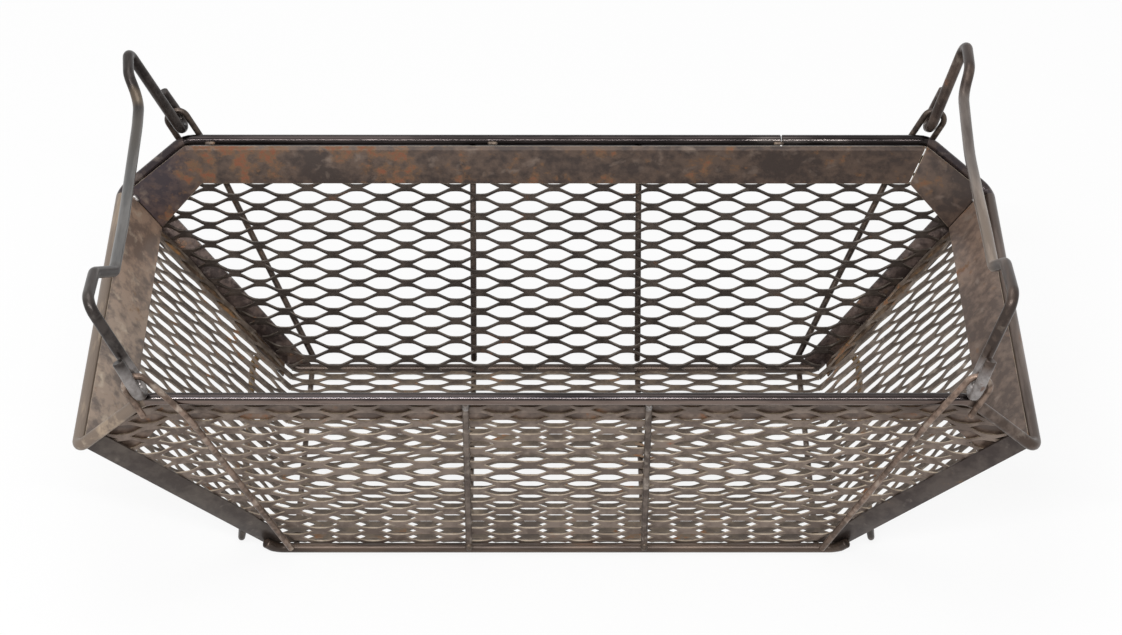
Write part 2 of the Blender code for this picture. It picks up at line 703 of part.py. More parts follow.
def bail(side_x, lean, finish):
    """Hung by its hooks from the eyes. The parent empty lies on the line that it swings about."""
    eye_y = ROD_TOP_CORNER.y + EYE_OFFSET
    hook = []
    for step in range(HOOK_STEPS + 1):
        turn = math.pi * step / HOOK_STEPS
        across = HOOK_RADIUS * math.cos(turn)
        hook.append(Vector((0, eye_y + across, HOOK_RADIUS - HOOK_RADIUS * math.sin(turn))))
    start = Vector((0, eye_y + HOOK_RADIUS, HOOK_RETURN))
    path = []
    ear_y = eye_y - EAR_INSIDE_EYE
    for side_y in (1, -1):
        jog_y = ear_y - (FRONT_JOG_INSIDE_EAR if side_y < 0 else REAR_JOG_INSIDE_EAR)
        grip_y = jog_y - (FRONT_JOG_RUN if side_y < 0 else REAR_JOG_RUN)
        rise = [
            hook[-1],
            Vector((0, ear_y, EAR_HEIGHT)),
            Vector((0, jog_y, JOG_TOP_HEIGHT)),
            Vector((0, grip_y, GRIP_HEIGHT)),
            Vector((0, 0, GRIP_HEIGHT)),
        ]
        half = [start] + hook + bent(rise, BAIL_BEND_RADIUS)[1:-1]
        path += [mirrored(point, 1, side_y) for point in half][::side_y]
    name = f"{END_NAMES[side_x]}_bail"
    made = rod(name, path, BAIL_DIAMETER, finish, resolution=HEAVY_ROD_RESOLUTION)
    axis = bpy.data.objects.new(f"{name}_axis", None)
    axis.location = (BAIL_AXIS_X * side_x, 0, RIM_HEIGHT + BAIL_AXIS_ABOVE_RIM)
    axis.rotation_euler = (0, lean * side_x, 0)
    bpy.context.scene.collection.objects.link(axis)
    made.parent = axis
    return made


# Weld tacks


def tack(name, centre, size, finish):
    body = bmesh.new()
    bmesh.ops.create_uvsphere(body, u_segments=TACK_SEGMENTS, v_segments=TACK_RINGS, radius=1)
    for vert in body.verts:
        vert.co = centre + Vector(along * half for along, half in zip(vert.co, size))
    mesh = bpy.data.meshes.new(name)
    body.to_mesh(mesh)
    body.free()
    mesh.shade_smooth()
    return add_object(name, mesh, finish)


def weld_tacks(finish):
    above = RIM_HEIGHT - (BAND_BELOW_ROD - TACK_ABOVE_BAND) * math.cos(SIDE_FLARE)
    size = (TACK_HALF_LENGTH, TACK_HALF_HEIGHT, TACK_HALF_HEIGHT)
    for side_y in SIDE_NAMES:
        for number, share in enumerate(REAR_TACK_X_SHARES, 1):
            x = TOP_CORNER_X * share
            place = meet(moved_out(SIDE_PLANE, -TACK_OFFSET), level(above), (OUT_X, x))
            tack(f"rim_tack_{SIDE_NAMES[side_y]}_{number}", mirrored(place, 1, side_y), size, finish)
    ball = (CORNER_TACK_RADIUS,) * 3
    for side_x, side_y in CORNERS:
        place = end_corner_at(-CORNER_TACK_OFFSET, END_RIM_HEIGHT)
        name = f"corner_tack_{SIDE_NAMES[side_y]}_{END_NAMES[side_x]}"
        tack(name, mirrored(place, side_x, side_y), ball, finish)


def build():
    clear_scene()
    rim_steel = material("worn_rim_steel", (0.10, 0.10, 0.11), 0.42, 1)
    band_steel = material("rusted_band_steel", (0.11, 0.06, 0.04), 0.65, 0.6)
    mesh_steel = material("brown_mesh_steel", (0.10, 0.08, 0.07), 0.6, 0.7)
    angle_steel = material("grey_angle_steel", (0.12, 0.10, 0.09), 0.55, 0.8)
    rod_steel = material("brown_rod_steel", (0.13, 0.08, 0.06), 0.6, 0.6)
    bail_steel = material("dark_bail_steel", (0.06, 0.05, 0.05), 0.45, 0.9)
    weld_steel = material("bright_weld", (0.30, 0.31, 0.34), 0.35, 1)
    rim_rod(rim_steel)
    rim_bands(band_steel)
    for side_y in SIDE_NAMES:
        side_wall_mesh(side_y, mesh_steel)
        base_rail(side_y, angle_steel)
    floor_and_ends_mesh(mesh_steel)
    for side_x, side_y in CORNERS:
        corner_angle(side_x, side_y, angle_steel)
        wall_rod(side_x, side_y, rod_steel)
        eye_rod(side_x, side_y, rod_steel)
    for side_x, lean in ((-1, LEFT_BAIL_LEAN), (1, RIGHT_BAIL_LEAN)):
        floor_bar(f"floor_bar_{END_NAMES[side_x]}_middle", MIDDLE_ROD_X * side_x, rod_steel)
        floor_bar(f"floor_bar_{END_NAMES[side_x]}_outer", OUTER_BAR_X * side_x, rod_steel)
        foot_loop(side_x, rod_steel)
        bail(side_x, lean, bail_steel)
    weld_tacks(weld_steel)


build()
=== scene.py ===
"""Steel parts basket: what the photograph shows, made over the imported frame.

Metres, +Z up, +X along the basket toward the right bail, +Y toward the rear wall, as in the frame.
"""

import math

import bmesh
import bpy
from mathutils import Matrix, Vector


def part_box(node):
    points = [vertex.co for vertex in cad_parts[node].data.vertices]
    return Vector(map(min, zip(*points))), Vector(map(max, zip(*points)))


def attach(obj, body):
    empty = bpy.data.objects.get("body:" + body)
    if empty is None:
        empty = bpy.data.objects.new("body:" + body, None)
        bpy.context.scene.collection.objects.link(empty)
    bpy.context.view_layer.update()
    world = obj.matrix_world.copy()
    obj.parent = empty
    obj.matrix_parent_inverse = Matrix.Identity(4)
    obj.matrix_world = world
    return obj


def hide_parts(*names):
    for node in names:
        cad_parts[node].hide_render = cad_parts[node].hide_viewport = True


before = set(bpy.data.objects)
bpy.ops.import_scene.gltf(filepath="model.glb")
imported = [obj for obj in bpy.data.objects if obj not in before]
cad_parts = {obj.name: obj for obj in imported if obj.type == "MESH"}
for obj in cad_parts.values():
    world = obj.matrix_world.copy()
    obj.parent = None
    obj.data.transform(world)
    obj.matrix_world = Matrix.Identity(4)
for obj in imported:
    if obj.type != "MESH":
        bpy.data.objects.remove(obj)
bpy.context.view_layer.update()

MM = 0.001
X, Y, Z = 0, 1, 2

# The basket's body, with the frame's own sizes
BASE_HALF_LENGTH = 0.1726
BASE_HALF_WIDTH = 0.0960
FOLD_HEIGHT = 0.0045955
RIM_RISE = 0.1432
END_RIM_RISE = 0.1063
RIM_HEIGHT = FOLD_HEIGHT + RIM_RISE
END_RIM_HEIGHT = FOLD_HEIGHT + END_RIM_RISE
TOP_CORNER_X = 0.24057
END_CORNER_Y = 0.14234
SIDE_FLARE = math.radians(19.2)
END_FLARE = math.radians(44.5)
CLEARANCE = 0.0003
CAD_SHEET = 0.0012

# Expanded metal: the openings repeat every 32 mm along and about 12.7 mm across
SHEET_THICKNESS = 0.0014
DIAMOND_LENGTH = 0.0320
SHEET_PITCH = 0.0127
FRONT_WALL_PITCH = 0.01375
# Where the middle of one opening lies on each flat sheet
REAR_WALL_OPENING = (-0.1291, 0.0145)
FRONT_WALL_OPENING = (-0.1284, 0.0546)
FLOOR_OPENING = (0, -0.0004)
# How much flat sheet is made before it is cut: half its length, and its edges across
WALL_HALF_SPAN, WALL_ACROSS = 0.30, (-0.01, 0.19)
FLOOR_HALF_SPAN, FLOOR_ACROSS = 0.345, (-0.16, 0.16)
SHEET_BELOW_ROD = 0.0062
WALL_START = 0.0002
FLOOR_EDGE_GAP = 0.0015
FOLD_EDGE_GAP = 0.00095
# Folding stretched the ends a little more with each of the first rows past the fold
STRETCHED_ROWS = 6
STRETCH_START = 0.006
STRETCH_EVERY = 0.008
STRETCH = (0.00125, 0.00034)
# A quarter of an opening's outline in mm, from its sharp end to its widest place
RING_POINTS = 24
OPENING_RING = ((12.6, 0), (11.4, 0.62), (8.6, 2.10), (6.9, 2.93), (5.0, 3.72), (3.0, 4.10), (0, 4.15))
# Where the middle of the strand stands beside each of those points, as a share of the way across
STRAND_SHARES = (0, 0.16, 0.40, 0.50, 0.60, 0.84, 1)
# The slit's two lips stand this far above and below the sheet's middle
STRAND_LEAN = 0.00035

# Rim ring. The frame's rod is 6.5 mm thick, and the photograph's looks like 7.4 mm
RIM_ROD_DIAMETER = 0.0065
RING_DIAMETER = 0.0074
RING_SINK = 0.0002
RING_SIDES = 24
TOP_BEND_RADIUS = 0.0160
END_BEND_RADIUS = 0.0085
RIM_JOINT_X = 0.1460
RIM_JOINT_GAP = 0.0005
TAN_END_Y = END_CORNER_Y - 0.032
BROWN_END_Y = END_CORNER_Y - 0.016

# Base rails
RAIL_DIAMETER = 0.0060
RAIL_BELOW_FOLD = 0.0008
RAIL_STRAIGHT_END_X = 0.1695
RAIL_BEND_RADIUS = 0.0070
RAIL_KNEE_RISE = 0.0030
RAIL_KNEE_OUT_SHARE = 0.6
RAIL_KNEE_INWARD, RAIL_KNEE_OUTWARD = 0.0055, 0.0005
RAIL_TIP_RUN = 0.006

# Floor bars and wall rods
BAR_DIAMETER = 0.0040
BAR_RADIUS = BAR_DIAMETER / 2
BAR_SIDES = 20
END_CHAMFER = 0.0005
BEND_STEP_DEGREES = 11
MIDDLE_ROD_X = 0.0537
OUTER_BAR_X = 0.1600
ROD_END_UP_SLOPE = 0.0035
ROD_KICK_UP_SLOPE = 0.0180
ROD_END_CUT = 0.0025
ROD_BEND_RADIUS = 0.0120

# Eye rods, by side and by corner
EYE_ROD_LOW_X = {-1: 0.1615, 1: 0.1575}
EYE_ROD_RIM_X = {(-1, -1): 0.2150, (1, -1): 0.2190, (-1, 1): 0.2255, (1, 1): 0.2255}
EYE_LEAN = math.radians(27.7)
EYE_RADIUS = 0.0067
EYE_X = 0.2447
EYE_ABOVE_RIM = 0.0120
EYE_JOG_BELOW_RIM = 0.0100
EYE_RETURN_BELOW_RIM = 0.0092
EYE_BEND_RADIUS = 0.0150

# Foot loops: side, x, y and rise of each loop's two corners
FOOT_ROD_DIAMETER = 0.0042
FOOT_CORNERS = ((1, 0.1980, 0.0935, 0.0080), (-1, 0.1935, 0.0965, 0.0030))
FOOT_WELD_Y = 0.0990
FOOT_WELD_RISE = 0.0140
FOOT_BEND_RADIUS = 0.0050

# Bails. Each grip runs from the rear ear to the front one: along, up and bend radius, in mm
BAIL_DIAMETER = 0.0070
BAIL_SIDES = 24
BAIL_AXIS_X = 0.2416
HOOK_RADIUS = 0.0066
HOOK_TAIL = (-0.0035, 0.0270)
HOOK_OUTER_INWARD = 0.0003
LEFT_BAIL_LEAN = math.radians(27.0)
RIGHT_BAIL_LEAN = math.radians(19.5)
LEFT_GRIP = (
    (145.0, 68.6, 5.5), (122.0, 64.0, 10), (111.5, 48.8, 22), (84, 46.4, 150),
    (-30, 43.6, 300), (-84.5, 44.3, 8), (-112, 62.5, 9), (-147, 64.5, 9),
)
RIGHT_GRIP = (
    (159.5, 64.4, 8), (127.0, 62.6, 12), (116.0, 48.9, 20), (85, 46.3, 150), (48, 43.6, 200),
    (0, 45.0, 200), (-50, 47.0, 200), (-87.5, 47.5, 8), (-104.5, 61.5, 10), (-147, 64.5, 9),
)

# Rim bands: their faces' places inside the sheet, and the narrow lip at the top
BAND_OUTER, BAND_INNER = -0.0009, -0.0024
BAND_BELOW_RIM = 0.0027 + 0.0225
LIP_OUTER, LIP_TOP, LIP_INNER_RISE = (0.0003, 0.0014), (-0.0006, 0.0024), 0.0005
SIDE_LIP, END_LIP = -0.0035, 0.0002
BAND_HALF_SEAM = 0.0004
# Upward faces narrower than this take the pale edge finish: a painted highlight along each band's lip
PALE_EDGE_AND_HIGHLIGHT_WIDTH = 0.003
EASED_EDGE = 0.0003
CUT_EDGE_TURN = math.radians(70)

# Corner angles
ANGLE_THICKNESS = 0.0014
ANGLE_LEG = 0.0140
ANGLE_START = 0.0030
ANGLE_BELOW_ROD = 0.0044
ANGLE_FOOT_X = 0.1600

# Weld beads. The ripples are run and radius, in tenths of a millimetre
BEAD_START_X, BEAD_START_RADIUS = -0.0030, 0.0004
BEAD_RIPPLES = (
    (2, 9), (4, 13), (5, 15), (5, 13.5), (6, 16), (6, 14), (6, 16.5),
    (6, 14), (6, 15.5), (5, 13), (4, 11), (3, 7), (2, 3),
)
BEAD_UNEVENNESS = 0.00012
RIM_TACK_SHARES = (-0.93, -0.17, 0.60)
RIM_TACK_OUT, RIM_TACK_BELOW_RIM = 0.0006, 0.0001
CORNER_TACK_OUT, CORNER_TACK_BELOW_RIM = -0.0026, 0.0004
WALL_ROD_WELD_BELOW_RIM = 0.0075
WALL_ROD_WELD_UP_SLOPE = 0.0072

# Patterns on the steel, in mm: rubbed places, rust blooms, the mottle in them and the surface's grain.
# Real grain is finer than a render can show, so it is drawn as coarse as it needs to be seen
RUBBED_MM, BLOOM_MM, MOTTLE_MM, GRAIN_MM = 9.09, 6.25, 2.381, 1.111
GRAIN_DEPTH, GRAIN_STRENGTH = 0.15 * MM, 0.25
# The broad and the close noise of the patches add up to this on average
MIDDLE_TONE = 1.01
RUBBED_SOFTNESS, STAIN_SOFTNESS, RUST_SOFTNESS = 0.16, 0.08, 0.06
STAIN_COVER, RUST_COVER = 0.65, 0.85
RUSTIER_BY = 0.06
RUST_METALLIC, RUST_ROUGHNESS = 0.1, 0.75
MOTTLE_LOW, MOTTLE_HIGH = 0.42, 0.60
CLOUDED_ROUGHNESS = 0.08
# Drawing has pulled a bar's patterns out along its length
ALONG_X, ALONG_Y = (0.12, 1, 1), (1, 0.12, 1)

# The studio
FLOOR_SIZE = 12
PAPER_GREY = 0.85
SEEN_WHITE_SHARE = 0.88
SKY_STRENGTH = 0.5
LIGHT_TARGET = (0, 0, 0.06)
# Name, place, width and height in metres, and power in watts
LIGHT_BOXES = (
    ("overhead_box", (-0.3, 0.2, 2.0), (1.6, 1.2), 12),
    ("front_strip", (-0.4, -2.1, 2.1), (2.4, 0.13), 60),
)

# The camera, fitted to the basket's corners in the photograph
CAMERA_TURNS = (32.688, 0.317, 0.185)
CAMERA_PLACE = (-0.008455, -2.049694, 1.418349 + FOLD_HEIGHT)
FOCAL_PIXELS, PHOTO_PIXELS = 3919.874, 1122
SENSOR_WIDTH = 36

SHEET_HALF = CAD_SHEET / 2
ROD_OFFSET = SHEET_HALF + CLEARANCE + RIM_ROD_DIAMETER / 2
WALL_ROD_OFFSET = SHEET_HALF + CLEARANCE + BAR_RADIUS
RAIL_OFFSET = SHEET_HALF + CLEARANCE + RAIL_DIAMETER / 2
ANGLE_OUTER = SHEET_HALF + CLEARANCE + ANGLE_THICKNESS
EYE_OFFSET = RIM_ROD_DIAMETER / 2 + CLEARANCE + BAR_RADIUS
BAIL_AXIS_ABOVE_RIM = RIM_ROD_DIAMETER / 2 + CLEARANCE + BAIL_DIAMETER / 2

UP = Vector((0, 0, 1))
OUT_X = Vector((1, 0, 0))
OUT_Y = Vector((0, 1, 0))
WHITE = (1, 1, 1, 1)
CORNERS = ((-1, -1), (1, -1), (-1, 1), (1, 1))
SIDE_NAMES = {-1: "front", 1: "rear"}
END_NAMES = {-1: "left", 1: "right"}


# Places on the basket, each worked out in the quarter with x and y above zero


def plane_through(normal, point):
    unit = normal.normalized()
    return unit, unit.dot(point)


def moved_out(plane, offset):
    return plane[0], plane[1] + offset


def level(height):
    return UP, height


def meet(first, second, third):
    """The point that three planes share."""
    rows = Matrix([plane[0] for plane in (first, second, third)])
    return rows.inverted() @ Vector((first[1], second[1], third[1]))


def mirrored(point, side_x, side_y):
    return Vector((point.x * side_x, point.y * side_y, point.z))


BASE_CORNER = Vector((BASE_HALF_LENGTH, BASE_HALF_WIDTH, FOLD_HEIGHT))
TOP_CORNER = Vector((TOP_CORNER_X, BASE_HALF_WIDTH + RIM_RISE * math.tan(SIDE_FLARE), RIM_HEIGHT))
END_CORNER = Vector((BASE_HALF_LENGTH + END_RIM_RISE * math.tan(END_FLARE), END_CORNER_Y, END_RIM_HEIGHT))
SIDE_PLANE = plane_through(Vector((0, math.cos(SIDE_FLARE), -math.sin(SIDE_FLARE))), BASE_CORNER)
END_PLANE = plane_through(Vector((math.cos(END_FLARE), 0, -math.sin(END_FLARE))), BASE_CORNER)
WING_PLANE = plane_through((TOP_CORNER - BASE_CORNER).cross(END_CORNER - BASE_CORNER), BASE_CORNER)


def top_corner_at(offset, height):
    return meet(moved_out(SIDE_PLANE, offset), moved_out(WING_PLANE, offset), level(height))


def end_corner_at(offset, height):
    return meet(moved_out(END_PLANE, offset), moved_out(WING_PLANE, offset), level(height))


def corner_name(side_x, side_y):
    return f"{SIDE_NAMES[side_y]}_{END_NAMES[side_x]}"


ROD_TOP_CORNER = top_corner_at(ROD_OFFSET, RIM_HEIGHT)
ROD_END_CORNER = end_corner_at(ROD_OFFSET, END_RIM_HEIGHT)


def on_side(x, out, up):
    """A point off the side wall: along it, out from its middle and up its slope."""
    y = BASE_HALF_WIDTH + out * math.cos(SIDE_FLARE) + up * math.sin(SIDE_FLARE)
    return Vector((x, y, FOLD_HEIGHT - out * math.sin(SIDE_FLARE) + up * math.cos(SIDE_FLARE)))


# Materials


def linear(code):
    """An sRGB hex colour as linear red, green, blue and alpha."""
    parts = [int(code[i : i + 2], 16) / 255 for i in (1, 3, 5)]
    return [part / 12.92 if part <= 0.04045 else ((part + 0.055) / 1.055) ** 2.4 for part in parts] + [1]


def add(tree, kind, links=None, values=None, **settings):
    """The outputs of a node with its settings, its inputs' own values and the links into it."""
    made = tree.nodes.new("ShaderNode" + kind)
    for key, value in settings.items():
        setattr(made, key, value)
    for key, value in (values or {}).items():
        made.inputs[key].default_value = value
    for key, source in (links or {}).items():
        tree.links.new(source, made.inputs[key])
    return made.outputs


def reach(tree, axes, limits):
    """How far a place lies inside limits, each an axis with where it starts and where it is full."""
    share = None
    for axis, start, full in limits:
        near = add(tree, "MapRange", {0: axes[axis]}, {1: start, 2: full})[0]
        share = add(tree, "Math", {0: share, 1: near}, operation="MULTIPLY")[0] if share else near
    return share


def aged_steel(name, tones, shine, stretch=(1, 1, 1), patch_mm=24, contrast=0.13, wear_and_painted_light=(), rustier=None):
    """Steel under a skin of oxide and oil: dark and body tones in soft patches, rubbed places, rust bloom.

    tones: hollows, body, rubbed, stain, rust. shine: metallic, roughness, where rubbing and rust start.
    """
    dark, body, pale, stain, rust = [linear(code) for code in tones.split()]
    metallic, roughness, rubbed_from, rust_from = shine
    made = bpy.data.materials.new(name)
    made.use_nodes = True
    tree = made.node_tree
    shader = tree.nodes["Principled BSDF"]
    place = add(tree, "TexCoord")["Object"]
    axes = add(tree, "SeparateXYZ", {0: place})
    drawn = {"Vector": add(tree, "Mapping", {"Vector": place}, {"Scale": stretch})[0]}
    # Soft patches a few centimetres wide with smaller clouds in them
    patches, clouds = 1 / (patch_mm * MM), 5 / (patch_mm * MM)
    broad = add(tree, "TexNoise", drawn, {"Scale": patches, "Detail": 2.0})[0]
    close = add(tree, "TexNoise", drawn, {"Scale": clouds, "Detail": 5.0, "Roughness": 0.6})[0]
    tone = add(tree, "Math", {0: broad, 1: close}, operation="ADD")[0]
    least, most = MIDDLE_TONE - contrast, MIDDLE_TONE + contrast
    patch = add(tree, "MapRange", {0: tone}, {1: least, 2: most})[0]
    skin = add(tree, "Mix", {"Factor": patch}, {6: dark, 7: body}, data_type="RGBA")[2]
    # Lengths in other tones: places that handling has scrubbed or soiled, and the rim rod's painted
    # highlight
    for low, high, limits in wear_and_painted_light:
        pair = {6: linear(low), 7: linear(high)}
        other = add(tree, "Mix", {"Factor": patch}, pair, data_type="RGBA")[2]
        share = reach(tree, axes, limits)
        skin = add(tree, "Mix", {"Factor": share, 6: skin, 7: other}, data_type="RGBA")[2]
    # Rubbed places where hands and other steel have polished the skin away
    scuffs = {"Scale": 1 / (RUBBED_MM * MM), "Detail": 4.0, "Distortion": 0.3}
    scuff = add(tree, "TexNoise", drawn, scuffs)[0]
    limits = {1: rubbed_from, 2: rubbed_from + RUBBED_SOFTNESS}
    rubbed = add(tree, "MapRange", {0: scuff}, limits)[0]
    skin = add(tree, "Mix", {"Factor": rubbed, 6: skin}, {7: pale}, data_type="RGBA")[2]
    # Rust: an ochre stain with an orange heart, in ragged blooms
    blooms = {"Scale": 1 / (BLOOM_MM * MM), "Detail": 8.0, "Roughness": 0.62}
    bloom = add(tree, "TexNoise", drawn, blooms)[0]
    bloom = add(tree, "Math", {0: bloom, 1: broad}, operation="ADD")[0]
    if rustier:
        share = {0: reach(tree, axes, rustier)}
        more = add(tree, "Math", share, {1: RUSTIER_BY}, operation="MULTIPLY")[0]
        bloom = add(tree, "Math", {0: bloom, 1: more}, operation="ADD")[0]
    limits = {1: rust_from - STAIN_SOFTNESS, 2: rust_from, 4: STAIN_COVER}
    stained = add(tree, "MapRange", {0: bloom}, limits)[0]
    skin = add(tree, "Mix", {"Factor": stained, 6: skin}, {7: stain}, data_type="RGBA")[2]
    limits = {1: rust_from, 2: rust_from + RUST_SOFTNESS, 4: RUST_COVER}
    rusted = add(tree, "MapRange", {0: bloom}, limits)[0]
    mottle = add(tree, "TexNoise", drawn, {"Scale": 1 / (MOTTLE_MM * MM), "Detail": 3.0})[0]
    mottled = add(tree, "MapRange", {0: mottle}, {1: MOTTLE_LOW, 2: MOTTLE_HIGH})[0]
    heart = add(tree, "Mix", {"Factor": mottled}, {6: stain, 7: rust}, data_type="RGBA")[2]
    skin = add(tree, "Mix", {"Factor": rusted, 6: skin, 7: heart}, data_type="RGBA")[2]
    tree.links.new(skin, shader.inputs["Base Color"])
    metal = add(tree, "MapRange", {0: rusted}, {3: metallic, 4: RUST_METALLIC})[0]
    tree.links.new(metal, shader.inputs["Metallic"])
    # Rust is dull, the skin has a low oily shine that its clouds break up
    limits = {3: -CLOUDED_ROUGHNESS, 4: CLOUDED_ROUGHNESS}
    clouded = add(tree, "MapRange", {0: close}, limits)[0]
    dulled = add(tree, "MapRange", {0: rusted}, {3: roughness, 4: RUST_ROUGHNESS})[0]
    gloss = add(tree, "Math", {0: clouded, 1: dulled}, operation="ADD")[0]
    tree.links.new(gloss, shader.inputs["Roughness"])
    grain = add(tree, "TexNoise", drawn, {"Scale": 1 / (GRAIN_MM * MM), "Detail": 2.0})[0]
    relief = add(tree, "Math", {0: grain, 1: bloom}, operation="ADD")[0]
    depth = {"Strength": GRAIN_STRENGTH, "Distance": GRAIN_DEPTH}
    bump = add(tree, "Bump", {"Height": relief}, depth)[0]
    tree.links.new(bump, shader.inputs["Normal"])
    return made


# Handling pieces


def only(*pieces):
    """Leaves these pieces alone selected, the first of them active."""
    bpy.ops.object.select_all(action="DESELECT")
    for piece in pieces:
        piece.select_set(True)
    bpy.context.view_layer.objects.active = pieces[0]


def edit(piece):
    only(piece)
    bpy.ops.object.mode_set(mode="EDIT")
    bpy.ops.mesh.select_mode(type="VERT")


def leave():
    bpy.ops.object.mode_set(mode="OBJECT")


def pick_all():
    bpy.ops.mesh.select_all(action="SELECT")


def pull(move):
    """Draws the picked faces out by this much."""
    bpy.ops.mesh.extrude_region_move(TRANSFORM_OT_translate={"value": move})


def close_up():
    """Turns the whole skin outward and leaves edit mode."""
    pick_all()
    bpy.ops.mesh.normals_make_consistent(inside=False)
    leave()


def pick(piece, test):
    """Selects the points that pass a test, in edit mode."""
    shell = bmesh.from_edit_mesh(piece.data)
    shell.verts.ensure_lookup_table()
    for face in shell.faces:
        face.select = False
    for edge in shell.edges:
        edge.select = False
    for vert in shell.verts:
        vert.select = bool(test(vert))
    shell.select_flush(True)
    bmesh.update_edit_mesh(piece.data)


def settle(piece):
    only(piece)
    bpy.ops.object.transform_apply(location=True, rotation=True, scale=True)


def disc(name, sides, radius, place, turned=(0, 0, 0), fill="NGON"):
    """A flat disc of so many sides, open for editing."""
    bpy.ops.object.select_all(action="DESELECT")
    bpy.ops.mesh.primitive_circle_add(
        vertices=sides, radius=radius, fill_type=fill, location=place, rotation=turned
    )
    made = bpy.context.object
    made.name = name
    settle(made)
    edit(made)
    return made


def thicken(piece, thickness, back, rim):
    """Gives a sheet its thickness about its middle. Its back and its edges take later finishes."""
    only(piece)
    thick = piece.modifiers.new("thickness", "SOLIDIFY")
    thick.thickness = thickness
    thick.offset = 0
    thick.use_even_offset = True
    thick.material_offset = back
    thick.material_offset_rim = rim
    bpy.ops.object.modifier_apply(modifier=thick.name)


def paint(piece, number, test):
    """Gives the faces that pass a test another of the piece's finishes."""
    for face in piece.data.polygons:
        if test(face):
            face.material_index = number


def width_of(piece, face):
    """A long face's width."""
    points = [piece.data.vertices[i].co for i in face.vertices]
    return face.area / max((a - b).length for a, b in zip(points, points[1:] + points[:1]))


def send(piece, number, target):
    """Moves one point of a piece to its place, in edit mode."""
    pick(piece, lambda vert: vert.index == number)
    shell = bmesh.from_edit_mesh(piece.data)
    shell.verts.ensure_lookup_table()
    bpy.ops.transform.translate(value=target - shell.verts[number].co)


def cut_out(name, outline):
    """A flat face with this outline, open for editing."""
    made = disc(name, len(outline), 10 * MM, outline[0])
    for number, place in enumerate(outline):
        send(made, number, place)
    return made


def coat(piece, finishes):
    for finish in finishes:
        piece.data.materials.append(finish)


def finish_piece(piece, finishes, body, slot, *nodes, angle=40):
    only(piece)
    bpy.ops.object.shade_smooth_by_angle(angle=math.radians(angle))
    if not piece.data.materials[:]:
        coat(piece, finishes)
    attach(piece, body)
    if nodes:
        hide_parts(*nodes)
    return piece


# Bars, drawn out straight by straight, with each bend spun about its own centre


def bar(name, points, bends, diameter, sides=BAR_SIDES):
    toward = (points[1] - points[0]).normalized()
    turned = toward.to_track_quat("Z", "Y").to_euler()
    made = disc(name, sides, diameter / 2 - END_CHAMFER, points[0], turned)
    bpy.ops.mesh.select_mode(type="FACE")
    pick_all()
    grown = diameter / (diameter - 2 * END_CHAMFER)
    pull(toward * END_CHAMFER)
    place = points[0] + toward * END_CHAMFER
    bpy.ops.transform.resize(value=(grown,) * 3, center_override=place)
    for before, corner, after, radius in zip(points, points[1:], points[2:], bends):
        inward = (before - corner).normalized()
        outward = (after - corner).normalized()
        turn = math.pi - inward.angle(outward)
        back = radius * math.tan(turn / 2)
        start = corner + inward * back
        if (start - place).length > CLEARANCE:
            pull(start - place)
        centre = corner + (inward + outward).normalized() * radius / math.cos(turn / 2)
        axis = outward.cross(-inward).normalized()
        steps = max(2, round(math.degrees(turn) / BEND_STEP_DEGREES))
        bpy.ops.mesh.spin(steps=steps, angle=turn, center=centre, axis=axis)
        place = corner + outward * back
    last = (points[-1] - points[-2]).normalized()
    stop = points[-1] - last * END_CHAMFER
    pull(stop - place)
    pull(last * END_CHAMFER)
    bpy.ops.transform.resize(value=(1 / grown,) * 3, center_override=points[-1])
    close_up()
    return made


# Expanded metal


def shape_ring(cell, first, known, wanted):
    """Moves each set of matching points of a ring, from a known place to the wanted one, by scaling it."""
    for (x, y), (wide, high) in zip(known, wanted):

        def matches(vert):
            return vert.index >= first and abs(abs(vert.co.x) - x) < 1e-6 and abs(abs(vert.co.y) - y) < 1e-6

        pick(cell, matches)
        grow = (wide / x if x > 1e-9 else 1, high / y if y > 1e-9 else 1, 1)
        bpy.ops.transform.resize(value=grow, center_override=(0, 0, 0))


def opening_cell(pitch, lean):
    """One opening and the near halves of the strands and bonds round it, in the flat."""
    cell = disc("opening", RING_POINTS, 1, (0, 0, 0), fill="NOTHING")
    turns = [math.tau * k / RING_POINTS for k in range(RING_POINTS // 4 + 1)]
    round_ring = [(math.cos(turn), math.sin(turn)) for turn in turns]
    round_ring[-1] = (0, 1)
    taller = pitch / SHEET_PITCH
    opening = [(x * MM, y * MM * taller) for x, y in OPENING_RING]
    shape_ring(cell, 0, round_ring, opening)
    pick_all()
    bpy.ops.mesh.extrude_region_move()
    diamond = [(DIAMOND_LENGTH / 2 * (1 - share), pitch / 2 * share) for share in STRAND_SHARES]
    shape_ring(cell, RING_POINTS, opening, diamond)
    for side in (1, -1):
        pick(cell, lambda vert: vert.index < RING_POINTS and vert.co.y * side > 1e-5)
        bpy.ops.transform.translate(value=(0, 0, -lean * side))
    leave()
    return cell


def lattice(pitch, start, half_span, rise, lean):
    """Rows of openings in the flat: x along the sheet, y across it, one opening's middle at the start."""
    cell = opening_cell(pitch, lean)
    before = math.ceil((start[0] + half_span) / DIAMOND_LENGTH) + 1
    below = math.ceil((start[1] - rise[0]) / pitch) + 1
    columns = before + math.ceil((half_span - start[0]) / DIAMOND_LENGTH) + 1
    rows = below + math.ceil((rise[1] - start[1]) / pitch) + 1
    cell.location = (start[0] - before * DIAMOND_LENGTH, start[1] - below * pitch, 0)
    settle(cell)
    for count, step in ((columns, (DIAMOND_LENGTH, 0, 0)), (rows, (0, pitch, 0))):
        many = cell.modifiers.new("repeat", "ARRAY")
        many.count = count
        many.use_relative_offset = False
        many.use_constant_offset = True
        many.constant_offset_displace = step
        bpy.ops.object.modifier_apply(modifier=many.name)
    edit(cell)
    pick_all()
    bpy.ops.mesh.duplicate_move(TRANSFORM_OT_translate={"value": (DIAMOND_LENGTH / 2, pitch / 2, 0)})
    pick_all()
    bpy.ops.mesh.remove_doubles(threshold=1e-5)
    close_up()
    return cell


